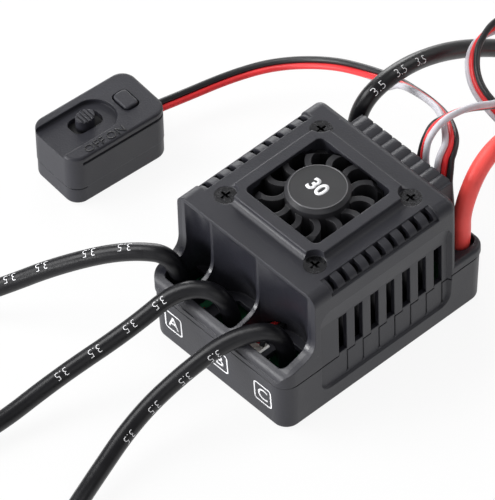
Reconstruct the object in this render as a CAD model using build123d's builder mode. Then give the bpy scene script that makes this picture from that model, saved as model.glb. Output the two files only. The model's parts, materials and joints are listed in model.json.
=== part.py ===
"""Brushless motor speed controller for a radio-controlled car, in millimetres.

+X runs across the case from motor phase A to phase C, -Y is the motor side, +Y the
battery and receiver side, +Z is up. The origin is the middle of the case's flat base.
"""

import math
import os

from build123d import *

os.makedirs("parts", exist_ok=True)

# --- Case, whose width and length follow from the fan it is built round ---------------
fan_size = 30.0
fan_side_gap = 1.75
fan_end_gap = 1.45
fan_shift = 0.3  # the fan sits this much nearer the battery end of the tower
wall = 1.8
end_wall = 1.1
tower_wall = 1.4
bay_depth = 8.0  # from the motor end to the tower
ledge_depth = 7.7  # from the tower to the battery end
case_draft = 0.5  # each side of the lower case leans in this much at the base
case_corner = 3.0
base_floor = 1.8
base_edge = 0.8
split_height = 11.8
split_drop = 1.15  # the joint line runs lower inside the side panels
joint_line = 0.3
joint_line_depth = 0.35
deck_height = 30.9
deck_thickness = 1.5
deck_edge = 2.3
tower_corner = 1.3
ledge_top = 13.8
rear_ledge_edge = 0.8

# --- Side panels, their vent slots and the rib strips above them ---------------------
panel_length = 33.0
panel_bottom = 4.0
panel_top = 25.4
panel_depth = 0.8
panel_corner = 2.8
panel_bevel = 0.5
panel_step = 0.3
panel_brow = 0.4  # the sloping brow starts this much above the slots
panel_shift = -1.6  # from the middle of the slots to the middle of the panel
vent_width = 2.05
vent_pitch = 4.0
vent_count = 7
vent_top = 20.9
vent_centre = 1.7
vent_tab = 0.55  # the lower case closes the foot of each slot this high
groove_width = 0.3
groove_depth = 0.25
groove_foot = 1.0
strip_pitch = 3.0
strip_count = 9
strip_gap = 1.25
strip_width = 3.05  # from the deck's edge line to the side face
strip_lip = 0.5
strip_wall = 0.6
strip_step = 0.15
strip_drop = 2.0
strip_depth = 1.2
strip_end = 0.8  # from the last slot to the end of the trough

# --- Wire bay at the motor end --------------------------------------------------------
bay_rim_top = 12.9
bay_rim = 1.5
rim_step = (0.6, 0.35)  # width and drop of the step along the rim's inner edge
fin_thickness = 1.1  # at the tray
fin_top = 0.4  # the fins thin out to this under the deck
bay_inset = 0.2
fin_places = (-9.3, 3.0)
flare_top = 20.3
flare_middle = (1.6, 16.7)  # out from the tower, height
flare_foot = (0.4, 14.1)  # in from the bay's front, height
scallop_lip = 0.9  # deck left above the scallops
scallop_depth = (1.0, 4.0)  # under the deck, at the tray
scallop_wall = 1.0
bay_corner = 1.2
tray_top = 11.3
tray_thickness = 1.2
tray_reach = 5.1  # how far the tray runs in under the tower
tray_gap = 0.2
tray_step = 0.4
bay_openings = (  # middle, width and length of each opening in the tray
    (-13.9, 5.6, 7.0),
    (-1.2, 7.0, 7.0),
    (6.05, 3.7, 3.5),
    (12.35, 6.5, 7.0),
)
bay_opening_edge = 1.25
bay_opening_corner = 0.5
light_hole = (-8.9, 5.1)  # across, in from the motor end
light_hole_radius = 1.75
fan_lead_hole = (5.6, 3.0, 1.9)  # middle, width and height of the opening for the fan's lead

# --- Rear bulge with its upright ribs --------------------------------------------------
bulge_left = -10.4
bulge_right = 13.6
bulge_depth = 3.3
bulge_drop = 1.0  # below the deck
bulge_wall = 1.0
bulge_foot = 1.0  # reaches this far down into the ledge
bulge_edge = 0.9  # rounding between the top and the back
bulge_rib_rise = 0.42  # the ribs stand this far out of the grooves between them
bulge_rib_pitch = 2.55
bulge_rib_count = 9

# --- Fan -------------------------------------------------------------------------------
fan_frame_height = 4.9
fan_corner = 2.5
fan_hole_inset = 3.0
fan_rim = 2.8  # the frame's thickness beside its bore
bezel_height = 1.6
bezel_corner = 2.4
bezel_cove = 1.15
bezel_edge = 0.2
bezel_top = 0.8
bezel_rim = 2.4
window_corner = 1.2
rotor_gap = 0.4
rotor_bezel_gap = 0.8
rotor_step = 1.4
rotor_rise = 0.5  # blades above the deck
rotor_bevel = 1.5
rotor_foot = 1.5  # above the foot of the fan's frame
hub_radius = 6.2
hub_rise = 2.4
hub_wall = 0.8
hub_chamfer = 0.6
blade_count = 13
blade_thickness = 1.2
blade_root = 0.4
blade_tip_gap = 0.3
blade_foot = 0.6
blade_bow = 11.0
blade_tip = -2.0
label_radius = 5.3
label_thickness = 0.15
magnet_thickness = 1.0
magnet_foot = 0.8
running_gap = 0.05
coil_hub = 2.6
coil_radius = 3.7
coil_pole = 1.6
coil_shoe = (1.0, 3.2)
coil_gap = 1.0
bush_radius = 1.6
shaft_radius = 0.75
shaft_foot = 0.2
spoke_width = 1.4
spoke_count = 3
spoke_thickness = 1.2

# --- Screws ----------------------------------------------------------------------------
screw_head_radius = 2.15
screw_shank_radius = 1.0
screw_length = 6.6
screw_clearance = 0.1
screw_seat_gap = 0.05
screw_cross = (2.2, 0.5, 0.9)  # across, width and depth of the cross recess
pocket_radius = 2.35

# --- Boards and what sits on them --------------------------------------------------------
board_gap = 0.4
control_board_bottom = 2.8
control_board_thickness = 1.0
control_board_length = 30.0
power_board_bottom = 6.0
power_board_thickness = 1.6
post_radius = 1.2
post_inset = 3.25
post_spacing = 20.0
fet_size = (5.0, 6.0, 1.1)
fet_columns = 4
fet_rows = 3
fet_pitch = (7.4, 7.6)
pad_thickness = 0.5
pad_margin = 0.5
sink_base = 2.4
sink_side_gap = 1.25
sink_end_gap = 1.2
sink_fan_gap = 0.9
sink_fin = 1.0
sink_fin_count = 9
capacitor_radius = 3.15
capacitor_fan_gap = 1.9  # their tops are this far below the foot of the fan
capacitor_pitch = 7.0
capacitor_gap = 0.55
capacitor_edge = 0.6
capacitor_count = 3
led_size = (1.6, 1.6, 0.8)
header_pins = 6
header_pitch = 2.0
header_radius = 0.32
header_inset = 2.0

# --- Wires and leads ---------------------------------------------------------------------
wire_diameter = 3.5
lead_diameter = 2.4
battery_wire_inset = 3.85  # from the side face to the wire
battery_wire_back = 2.8  # from the battery end to the wire as it leaves the case
battery_wire_lean = 1.2
lead_back = 1.8
lead_lean = 2.0
receiver_lead_x = 3.2
switch_lead_x = 10.2
wire_hole_gap = 0.5
wire_hole_slot = 0.4  # the holes are this much longer than wide
battery_hole_shift = 0.4
lead_hole_shift = 0.9
lead_hole_corner = 1.2
battery_hole_corner = 1.9
bullet_barrel = (2.2, 7.0)
bullet_neck = (1.5, 1.0)
bullet_pin = (2.0, 7.0)
bullet_nose = 0.8
bullet_slit = 0.5
bullet_slit_start = 1.5
sleeve_thickness = 0.3
sleeve_gap = 0.02
sleeve_overlap = 2.0
plug_size = (17.0, 12.0, 8.0)
plug_corner = 1.2
plug_collar = 1.5
plug_collar_inset = 1.0
plug_collar_corner = 0.8
plug_blade = (7.0, 9.0, 1.1)
plug_upright_blade = 5.5
plug_blade_places = (-4.0, 3.0)
servo_plug_size = (7.8, 14.0, 2.6)
servo_corner = 0.4
servo_pitch = 2.54
servo_ways = 3
servo_bore = 1.5
servo_contact_wall = 0.3
servo_back = 4.0
servo_contact_inset = 1.0

# --- Switch box ----------------------------------------------------------------------------
switch_origin = (-56.5, -3.75)
switch_turn = -4.1
switch_width = 13.7
switch_length = 23.0
switch_corner = 3.0
switch_split = 4.3
switch_top = 12.4
switch_edge = 0.5
switch_wall = 1.2
switch_floor = 1.2
switch_base_edge = 0.8
switch_base_inset = 0.1
switch_ceiling = 10.4
switch_post_radius = 0.9
switch_post_inset = 1.5
switch_groove_height = 0.7
switch_groove_top = 11.2
switch_groove_depth = 0.3
switch_groove_start = 2.4  # the groove begins this far from the near end
switch_joint = (0.3, 0.3)  # height and depth of the joint's groove
switch_joint_length = 3.2  # it shows this far round the near end
recess_depth = 0.9
recess_left = -5.0
recess_right = 3.9
recess_end = 3.6
slot_centre = (-1.1, -2.5)
slot_size = (4.2, 6.8)
slot_corner = 1.6
knob_size = (3.2, 4.0)
knob_top = 13.2
knob_ridges = 4
knob_ridge_pitch = 0.8
knob_groove = (0.35, 0.3)
slide_body = (5.6, 9.0)
button_centre = (0.0, 6.4)
button_size = (4.6, 3.1)
button_corner = 0.9
button_edge = 0.35
button_gap = 0.3
button_top = 12.9
button_flange = 0.3
button_flange_thickness = 0.7
button_travel = 0.5
switch_board_bottom = 5.0
switch_board_thickness = 1.0
switch_board_gap = 0.35
switch_board_corner = 1.0
tact_size = (4.4, 3.4, 2.4)
tact_plunger = 1.0
switch_lead_height = 6.4
lead_hole_gap = 0.5
small_gap = 0.05

# --- Places worked out from the sizes above ---------------------------------------------------
case_width = fan_size + 2 * (fan_side_gap + wall)
tower_length = fan_size + 2 * (fan_end_gap + tower_wall)
case_length = bay_depth + tower_length + ledge_depth
tower_front = bay_depth - case_length / 2
tower_back = case_length / 2 - ledge_depth
tower_middle = (tower_front + tower_back) / 2
tower_inner = case_width / 2 - wall
deck_bottom = deck_height - deck_thickness
panel_middle = vent_centre + panel_shift
panel_surface = case_width / 2 - panel_depth
vent_bottom = split_height - split_drop
strip_inner = case_width / 2 - strip_width
bay_front = -case_length / 2 + bay_inset
bay_inside = bay_front + bay_rim
tray_back = tower_front + tray_reach
bulge_back = tower_back + bulge_depth
bulge_tip = bulge_back + bulge_rib_rise
bulge_middle = (bulge_left + bulge_right) / 2
bulge_width = bulge_right - bulge_left
bulge_rib_radius = (bulge_rib_pitch**2 / 4 + bulge_rib_rise**2) / (2 * bulge_rib_rise)
light_place = (light_hole[0], light_hole[1] - case_length / 2)
cavity_width = 2 * tower_inner
cavity_length = case_length - 2 * case_draft - 2 * end_wall
cavity_corner = case_corner - end_wall
power_board_top = power_board_bottom + power_board_thickness
control_board_top = control_board_bottom + control_board_thickness
fet_top = power_board_top + fet_size[2]
sink_bottom = fet_top + pad_thickness
fan_y = tower_middle + fan_shift
fan_frame_bottom = deck_bottom - fan_frame_height
bulge_top = deck_height - bulge_drop
rotor_top = deck_height + rotor_rise
rotor_shoulder = rotor_top - rotor_bevel
rotor_bottom = fan_frame_bottom + rotor_foot
hub_top = deck_height + hub_rise
sink_top = fan_frame_bottom - sink_fan_gap
capacitor_top = fan_frame_bottom - capacitor_fan_gap
fan_hole_spacing = fan_size - 2 * fan_hole_inset
fan_bore = fan_size / 2 - fan_rim
bezel_size = fan_hole_spacing
window_size = bezel_size - 2 * bezel_rim
rotor_radius = fan_bore - rotor_gap
rotor_upper_radius = rotor_radius - rotor_step
bezel_inner_radius = rotor_upper_radius + rotor_bezel_gap
capacitor_y = bulge_back - bulge_wall - capacitor_radius - capacitor_gap
sink_width = 2 * (tower_inner - sink_side_gap)
sink_length = 2 * (capacitor_y - capacitor_radius - sink_end_gap - fan_y)
scallop_edges = (-case_width / 2 + wall, *fin_places, case_width / 2 - wall)
fan_screws = [
    (side * fan_hole_spacing / 2, fan_y + end * fan_hole_spacing / 2)
    for side in (-1, 1)
    for end in (-1, 1)
]
post_x = tower_inner - post_inset
board_posts = [(side * post_x, end * post_spacing / 2) for side in (-1, 1) for end in (-1, 1)]
battery_wire_x = case_width / 2 - battery_wire_inset
battery_wire_y = case_length / 2 - battery_wire_back
battery_start_y = battery_wire_y - battery_wire_lean
battery_hole_y = battery_wire_y - battery_hole_shift
battery_hole = wire_diameter + 2 * wire_hole_gap
lead_exit_y = case_length / 2 - lead_back
lead_start_y = lead_exit_y - lead_lean
lead_hole_y = lead_exit_y - lead_hole_shift
lead_hole = lead_diameter + 2 * wire_hole_gap
switch_board_top = switch_board_bottom + switch_board_thickness
switch_place = Plane(
    origin=(*switch_origin, 0),
    x_dir=(math.cos(math.radians(switch_turn)), math.sin(math.radians(switch_turn)), 0),
    z_dir=(0, 0, 1),
)


def switch_point(x, y, z):
    """A point of the switch box, given across it, along it and up."""
    return tuple(switch_place.from_local_coords(Vector(x, y, z)))


# --- Routes of the wires and leads --------------------------------------------------------------
motor_a_route = [
    (-14.2, -20.9, power_board_top),
    (-14.2, -20.9, 19.8),
    (-23.0, -26.8, 19.0),
    (-33.0, -34.8, 13.0),
    (-41.0, -43.0, 6.5),
    (-47.5, -51.5, 2.9),
    (-53.0, -59.5, 2.52),
    (-58.0, -68.0, 2.52),
]
motor_b_route = [
    (-1.2, -20.2, power_board_top),
    (-1.2, -20.2, 18.5),
    (-9.6, -24.8, 18.5),
    (-12.4, -35.6, 12.4),
    (-16.6, -50.4, 6.8),
    (-18.2, -64.3, 3.0),
    (-20.5, -77.5, 2.52),
    (-24.0, -87.0, 2.52),
]
motor_c_route = [
    (11.9, -18.6, power_board_top),
    (11.9, -18.6, 18.3),
    (5.3, -24.8, 17.0),
    (1.9, -34.4, 12.0),
    (0.7, -46.2, 7.0),
    (4.1, -60.2, 3.2),
    (8.6, -72.5, 2.52),
    (12.0, -83.0, 2.52),
]
negative_route = [
    (-battery_wire_x, battery_start_y, power_board_top),
    (-battery_wire_x, battery_start_y, power_board_top + 2.6),
    (-battery_wire_x, battery_wire_y, ledge_top + 0.8),
    (-13.7, 23.4, 28.0),
    (-14.2, 34.2, 29.6),
    (-15.9, 47.5, 23.6),
    (-15.9, 60.2, 15.4),
    (-14.2, 70.0, 8.0),
    (-11.2, 77.5, 4.0),
    (-11.2, 83.5, 4.0),
]
positive_route = [
    (battery_wire_x, battery_start_y, power_board_top),
    (battery_wire_x, battery_start_y, power_board_top + 2.6),
    (battery_wire_x, battery_wire_y, ledge_top + 0.8),
    (battery_wire_x, battery_wire_y, 27.0),
    (13.9, 30.5, 30.0),
    (13.9, 38.9, 30.0),
    (12.5, 49.0, 25.0),
    (7.5, 58.5, 17.0),
    (0.8, 66.5, 9.5),
    (-2.9, 73.0, 5.2),
    (-3.8, 78.0, 4.0),
    (-3.8, 83.5, 4.0),
]
receiver_route = [
    (receiver_lead_x, lead_start_y, power_board_top),
    (receiver_lead_x, lead_start_y, power_board_top + 2.4),
    (receiver_lead_x, lead_exit_y, ledge_top + 0.8),
    (receiver_lead_x, lead_exit_y, 33.5),
    (4.0, 33.0, 35.0),
    (4.6, 43.0, 28.5),
    (6.0, 54.0, 27.5),
    (0.0, 63.5, 27.5),
    (-11.0, 62.0, 26.6),
    (-13.0, 52.5, 25.4),
    (-6.5, 45.6, 23.6),
    (2.0, 44.6, 21.4),
    (11.0, 47.5, 16.0),
    (18.0, 53.0, 9.0),
    (24.0, 59.5, 3.6),
    (28.0, 66.5, 1.4),
    (30.5, 73.5, 1.4),
]
switch_route = [
    (switch_lead_x, lead_start_y, power_board_top),
    (switch_lead_x, lead_start_y, power_board_top + 2.4),
    (switch_lead_x, lead_exit_y, ledge_top + 0.8),
    (switch_lead_x, lead_exit_y, 31.0),
    (8.0, 28.2, 32.0),
    (0.0, 32.8, 29.0),
    (-8.3, 35.4, 25.6),
    (-16.9, 37.2, 21.5),
    (-26.0, 38.0, 16.4),
    (-36.0, 37.0, 11.4),
    (-45.3, 32.0, 7.8),
    (-50.6, 25.0, 6.0),
    switch_point(0.9, 18.5, 5.6),
    switch_point(0.0, switch_length / 2 - 1.45, switch_lead_height),
]


def bend_radii(points):
    """The radius of the arc at each inner point, from the runs beside it and the turn."""
    radii = []
    for before, here, after in zip(points, points[1:], points[2:]):
        into = Vector(*here) - Vector(*before)
        out = Vector(*after) - Vector(*here)
        half_turn = math.radians(into.get_angle(out)) / 2
        radii.append(0.45 * min(into.length, out.length) / math.tan(half_turn))
    return radii


def tube(points, diameter, label):
    """A round cord along straight runs joined by tangent arcs."""
    radii = bend_radii(points)
    with BuildPart() as cord:
        with BuildLine() as route:
            FilletPolyline(*points, radius=radii)
        path = route.wire()
        with BuildSketch(Plane(origin=path @ 0, z_dir=path % 0)):
            Circle(diameter / 2)
        sweep(path=path)
    length = path.length
    ratio = cord.part.volume / (math.pi * diameter**2 / 4 * length)
    print(f"{label}: {length:.1f} mm, tightest {min(radii):.1f} mm, volume {ratio:.3f}")
    cord.part.label = label
    return cord


def end_plane(points):
    """The plane across the end of a route, facing along it."""
    ahead = Vector(*points[-1]) - Vector(*points[-2])
    level = Vector(ahead.Y, -ahead.X, 0)
    return Plane(origin=points[-1], x_dir=level, z_dir=ahead)


# --- Shallow panel in each side wall, right across the joint line ------------------------------------
bevel_angle = math.degrees(math.atan(panel_bevel / panel_depth))
with BuildPart() as side_panels:
    for side in (-1, 1):
        outward = Plane(
            origin=(side * panel_surface, 0, 0), x_dir=(0, side, 0), z_dir=(side, 0, 0)
        )
        with BuildSketch(outward):
            with Locations((side * panel_middle, (panel_bottom + panel_top) / 2)):
                RectangleRounded(
                    panel_length - 2 * panel_bevel,
                    panel_top - panel_bottom - 2 * panel_bevel,
                    panel_corner - panel_bevel,
                )
        extrude(amount=2 * panel_depth, taper=-bevel_angle)
    # the brow over the slots slopes out to the panel's top edge
    with BuildSketch(Plane.XZ.offset(panel_length)):
        for side in (-1, 1):
            Polygon(
                (side * panel_surface, 0),
                (side * panel_surface, vent_top + panel_brow),
                (side * (case_width / 2 - panel_step), panel_top),
                (side * (case_width / 2 - panel_step), deck_height),
                (side * case_width, deck_height),
                (side * case_width, 0),
                align=None,
            )
    extrude(amount=-2 * panel_length, mode=Mode.INTERSECT)

# --- Lower case ------------------------------------------------------------------------------------
draft_angle = math.degrees(math.atan(case_draft / split_height))
with BuildPart() as lower_case:
    with BuildSketch():
        RectangleRounded(
            case_width - 2 * case_draft, case_length - 2 * case_draft, case_corner
        )
    extrude(amount=split_height, taper=-draft_angle)
    fillet(lower_case.faces().sort_by(Axis.Z)[0].edges(), base_edge)
    with BuildSketch(Plane.XY.offset(base_floor)):
        RectangleRounded(cavity_width, cavity_length, cavity_corner)
    extrude(amount=split_height, mode=Mode.SUBTRACT)
    with BuildSketch(Plane.XY.offset(base_floor)):
        with Locations(*board_posts):
            Circle(post_radius)
    extrude(amount=power_board_bottom - base_floor)
    add(side_panels.part, mode=Mode.SUBTRACT)
    with BuildSketch(Plane.XY.offset(vent_bottom)):
        with Locations((0, panel_middle)):
            Rectangle(2 * case_width, panel_length)
    extrude(amount=split_height, mode=Mode.SUBTRACT)
    # shadow line along the joint
    with BuildSketch(Plane.XY.offset(split_height - joint_line)):
        Rectangle(2 * case_width, 2 * case_length)
        RectangleRounded(
            case_width - 2 * joint_line_depth,
            case_length - 2 * joint_line_depth,
            case_corner - joint_line_depth,
            mode=Mode.SUBTRACT,
        )
    extrude(amount=joint_line, mode=Mode.SUBTRACT)
    with BuildSketch(Plane.XY.offset(vent_bottom - joint_line)):
        with Locations((0, panel_middle)):
            Rectangle(2 * case_width, panel_length)
            Rectangle(2 * (panel_surface - joint_line_depth), panel_length, mode=Mode.SUBTRACT)
    extrude(amount=joint_line, mode=Mode.SUBTRACT)
    # tabs that close the feet of the slots
    with BuildSketch(Plane.XY.offset(vent_bottom - joint_line)):
        for side in (-1, 1):
            with Locations((side * (tower_inner + panel_surface) / 2, vent_centre)):
                with GridLocations(1, vent_pitch, 1, vent_count):
                    Rectangle(panel_surface - tower_inner, vent_width - 2 * small_gap)
    extrude(amount=vent_tab + joint_line)
    for side in (-1, 1):
        groove_bottom = panel_bottom + groove_foot
        with BuildSketch(Plane.YZ.offset(side * panel_surface)):
            with Locations((vent_centre + vent_width / 2, groove_bottom)):
                with GridLocations(vent_pitch, 1, vent_count, 1):
                    Rectangle(
                        groove_width, vent_bottom - groove_bottom, align=(Align.CENTER, Align.MIN)
                    )
        extrude(amount=-side * groove_depth, mode=Mode.SUBTRACT)

# --- Upper case --------------------------------------------------------------------------------------


def scallop_wedges(grow):
    """One wedge for each wire bay, whose arched back deepens towards the tray."""
    heights = (deck_height - scallop_lip, tray_top)
    with BuildPart() as wedges:
        for left, right in zip(scallop_edges, scallop_edges[1:]):
            middle = (left + right) / 2
            for height, depth, fin in zip(heights, scallop_depth, (fin_top, fin_thickness)):
                half = (right - left - fin) / 2 + grow
                with BuildSketch(Plane.XY.offset(height)) as section:
                    with BuildLine():
                        ThreePointArc(
                            (middle - half, tower_front),
                            (middle, tower_front + depth + grow),
                            (middle + half, tower_front),
                        )
                        Polyline(
                            (middle + half, tower_front),
                            (middle + half, bay_inside),
                            (middle - half, bay_inside),
                            (middle - half, tower_front),
                        )
                    make_face()
                    fillet(section.vertices().group_by(Axis.Y)[0], bay_corner)
            loft()
    return wedges.part


with BuildPart() as scallop_walls:
    add(scallop_wedges(scallop_wall))
    with BuildSketch(Plane.XY.offset(tray_top)):
        with Locations((0, (tower_front + tray_back) / 2)):
            Rectangle(2 * tower_inner, tray_back - tower_front)
    extrude(amount=deck_bottom - tray_top, mode=Mode.INTERSECT)

scallop_cuts = scallop_wedges(0)

# --- What the troughs along the deck's long edges and the slots between their ribs take away -----------
strip_half = strip_pitch * (strip_count - 1) / 2 + strip_gap / 2 + strip_end
with BuildPart() as edge_cuts:
    with BuildSketch(Plane.XZ.offset(-strip_half)):
        for side in (-1, 1):
            with Locations((side * strip_inner, deck_height - strip_drop)):
                Rectangle(
                    2 * strip_width,
                    2 * strip_drop,
                    align=(Align.MIN if side > 0 else Align.MAX, Align.MIN),
                )
                Ellipse(strip_width - strip_lip, strip_drop - strip_step, mode=Mode.SUBTRACT)
    extrude(amount=2 * strip_half)
    with BuildSketch(Plane.XY.offset(deck_bottom - strip_depth)):
        slot_length = strip_width - strip_wall
        for side in (-1, 1):
            with Locations((side * (strip_inner + slot_length / 2), 0)):
                with GridLocations(1, strip_pitch, 1, strip_count):
                    Rectangle(slot_length, strip_gap)
    extrude(amount=deck_height - deck_bottom + strip_depth)

# the rear bulge: rounded ribs run up its back and on over its top
with BuildPart() as bulge_block:
    with BuildSketch(Plane.XY.offset(ledge_top - bulge_foot)):
        with Locations((bulge_middle, bulge_tip - bulge_rib_radius)):
            with GridLocations(bulge_rib_pitch, 1, bulge_rib_count, 1):
                Circle(bulge_rib_radius)
        with Locations((bulge_middle, bulge_back)):
            Rectangle(bulge_width, bulge_depth + tower_wall, align=(Align.CENTER, Align.MAX))
        with Locations((bulge_middle, tower_back - tower_wall)):
            Rectangle(
                bulge_width,
                bulge_tip - tower_back + tower_wall,
                align=(Align.CENTER, Align.MIN),
                mode=Mode.INTERSECT,
            )
    extrude(amount=bulge_top - ledge_top + bulge_foot)
    with BuildSketch(Plane.XZ):
        with Locations((bulge_middle, bulge_top - bulge_rib_radius)):
            with GridLocations(bulge_rib_pitch, 1, bulge_rib_count, 1):
                Circle(bulge_rib_radius)
        with Locations((bulge_middle, bulge_top - bulge_rib_rise)):
            Rectangle(bulge_width, bulge_top, align=(Align.CENTER, Align.MAX))
    extrude(amount=case_length, both=True, mode=Mode.INTERSECT)
    with BuildSketch(Plane.YZ):
        with Locations((bulge_tip, bulge_top)):
            RectangleRounded(
                case_width, bulge_top, bulge_edge, align=(Align.MAX, Align.MAX)
            )
    extrude(amount=case_width, both=True, mode=Mode.INTERSECT)

with BuildPart() as upper_case:
    # ledge all round, then the tower and the flared cheeks of the wire bay
    with BuildSketch(Plane.XY.offset(split_height)):
        RectangleRounded(case_width, case_length, case_corner)
    extrude(amount=ledge_top - split_height)
    with BuildSketch(Plane.XY.offset(bay_rim_top)):
        with Locations((0, -case_length / 2)):
            Rectangle(2 * case_width, case_length / 2)
    extrude(amount=ledge_top, mode=Mode.SUBTRACT)
    with BuildSketch(Plane.XY.offset(split_height)):
        with Locations((0, tower_middle)):
            Rectangle(case_width, tower_length)
    extrude(amount=deck_height - split_height)
    fillet(
        upper_case.edges()
        .filter_by(Axis.Y)
        .filter_by_position(Axis.Z, deck_height - 0.01, deck_height + 0.01),
        deck_edge,
    )
    with BuildSketch(Plane.YZ.offset(-case_width / 2)):
        with BuildLine():
            Polyline(
                (bay_front, bay_rim_top),
                (tower_front + tower_wall, bay_rim_top),
                (tower_front + tower_wall, flare_top),
                (tower_front, flare_top),
            )
            Spline(
                (tower_front, flare_top),
                (tower_front - flare_middle[0], flare_middle[1]),
                (bay_front + flare_foot[0], flare_foot[1]),
                (bay_front, bay_rim_top),
                tangents=[(0, -1), (-0.2, -1)],
            )
        make_face()
    extrude(amount=case_width)
    with BuildSketch(Plane.XY.offset(split_height)):
        RectangleRounded(case_width, case_length, case_corner)
    extrude(amount=deck_height - split_height, mode=Mode.INTERSECT)
    rear_wall = upper_case.faces().filter_by(Axis.Y).filter_by_position(
        Axis.Y, tower_back - 0.01, tower_back + 0.01
    )
    fillet(
        rear_wall.edges().filter_by_position(Axis.Z, ledge_top + 0.1, deck_height + 1),
        tower_corner,
    )
    rear_rim = upper_case.faces().filter_by(Axis.Z).filter_by_position(
        Axis.Z, ledge_top - 0.01, ledge_top + 0.01
    )
    fillet(
        rear_rim.edges().filter_by_position(Axis.Y, tower_back + 2, case_length), rear_ledge_edge
    )
    # hollow of the tower
    with BuildSketch(Plane.XY.offset(split_height)):
        with Locations((0, tower_middle)):
            Rectangle(2 * tower_inner, tower_length - 2 * tower_wall)
    extrude(amount=deck_bottom - split_height, mode=Mode.SUBTRACT)
    add(scallop_walls.part)
    # tray that the motor wires come up through, set into the lower case
    with BuildSketch(Plane.XY.offset(tray_top - tray_thickness)):
        with Locations((0, (bay_inside + tray_back) / 2 + tray_gap)):
            RectangleRounded(
                cavity_width - tray_gap, tray_back - bay_inside - 2 * tray_gap, cavity_corner
            )
    extrude(amount=tray_thickness + split_height - tray_top + tray_step)
    add(scallop_cuts, mode=Mode.SUBTRACT)
    with BuildSketch(Plane.XY.offset(bay_rim_top - rim_step[1])):
        for left, right in zip(scallop_edges, scallop_edges[1:]):
            with Locations(((left + right) / 2, bay_inside + bay_corner)):
                Rectangle(
                    right - left - fin_thickness,
                    rim_step[0] + bay_corner,
                    align=(Align.CENTER, Align.MAX),
                )
    extrude(amount=rim_step[1], mode=Mode.SUBTRACT)
    # rear bulge
    add(bulge_block.part)
    with BuildSketch(Plane.XY.offset(split_height)):
        with Locations((bulge_middle, bulge_back - bulge_wall)):
            Rectangle(
                bulge_width - 2 * bulge_wall,
                bulge_back - bulge_wall - tower_back + tower_wall,
                align=(Align.CENTER, Align.MAX),
            )
    extrude(amount=bulge_top - split_height - bulge_wall, mode=Mode.SUBTRACT)
    # side panels, with the tongue that fills the dip of the joint line
    with BuildSketch(Plane.XY.offset(vent_bottom)):
        for side in (-1, 1):
            with Locations((side * (case_width - wall) / 2, panel_middle)):
                Rectangle(wall, panel_length - 2 * small_gap)
    extrude(amount=split_drop)
    add(side_panels.part, mode=Mode.SUBTRACT)
    with BuildSketch(Plane.XY.offset(vent_bottom)):
        with Locations((0, vent_centre)):
            with GridLocations(1, vent_pitch, 1, vent_count):
                Rectangle(2 * case_width, vent_width)
    extrude(amount=vent_top - vent_bottom, mode=Mode.SUBTRACT)
    add(edge_cuts.part, mode=Mode.SUBTRACT)
    # raised bezel round the fan, with its square window and screw pockets
    with BuildSketch(Plane.XY.offset(deck_height)):
        with Locations((0, fan_y)):
            RectangleRounded(bezel_size, bezel_size, bezel_corner)
    extrude(amount=bezel_height)
    deck = upper_case.faces().filter_by(Axis.Z).filter_by_position(
        Axis.Z, deck_height - 0.01, deck_height + 0.01
    )
    fillet(deck.sort_by(SortBy.AREA)[-1].inner_wires()[0].edges(), bezel_cove)
    fillet(upper_case.faces().sort_by(Axis.Z)[-1].edges(), bezel_edge)
    with BuildSketch(Plane.XY.offset(deck_bottom)):
        with Locations((0, fan_y)):
            Circle(fan_bore)
    extrude(amount=deck_thickness, mode=Mode.SUBTRACT)
    with BuildSketch(Plane.XY.offset(deck_bottom)):
        with Locations((0, fan_y)):
            Circle(bezel_inner_radius)
    extrude(amount=deck_thickness + bezel_height - bezel_top, mode=Mode.SUBTRACT)
    with BuildSketch(Plane.XY.offset(deck_bottom)):
        with Locations((0, fan_y)):
            RectangleRounded(window_size, window_size, window_corner)
    extrude(amount=deck_height, mode=Mode.SUBTRACT)
    with Locations(*[Pos(x, y, deck_height) for x, y in fan_screws]):
        CounterSinkHole(
            screw_shank_radius + screw_clearance,
            screw_head_radius + screw_seat_gap,
            2 * deck_thickness,
        )
    with BuildSketch(Plane.XY.offset(deck_height)):
        with Locations(*fan_screws):
            Circle(pocket_radius)
    extrude(amount=deck_height, mode=Mode.SUBTRACT)
    # openings of the tray
    with BuildSketch(Plane.XY.offset(tray_top - tray_thickness)):
        for middle, width, length in bay_openings:
            with Locations((middle, bay_inside + bay_opening_edge + length / 2)):
                RectangleRounded(width, length, bay_opening_corner)
        with Locations(light_place):
            Circle(light_hole_radius)
    extrude(amount=tray_thickness, mode=Mode.SUBTRACT)
    # opening at the foot of the tower that the fan's lead comes out of
    with BuildSketch(Plane.XY.offset(tray_top)):
        with Locations((fan_lead_hole[0], tower_front)):
            Rectangle(fan_lead_hole[1], tray_reach, align=(Align.CENTER, Align.MIN))
    extrude(amount=fan_lead_hole[2], mode=Mode.SUBTRACT)
    # holes in the rear ledge for the battery wires and the two thin leads
    with BuildSketch(Plane.XY.offset(split_height)):
        with Locations((-battery_wire_x, battery_hole_y), (battery_wire_x, battery_hole_y)):
            RectangleRounded(battery_hole, battery_hole + wire_hole_slot, battery_hole_corner)
        with Locations((receiver_lead_x, lead_hole_y), (switch_lead_x, lead_hole_y)):
            RectangleRounded(lead_hole, lead_hole + wire_hole_slot, lead_hole_corner)
    extrude(amount=ledge_top - split_height, mode=Mode.SUBTRACT)

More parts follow.
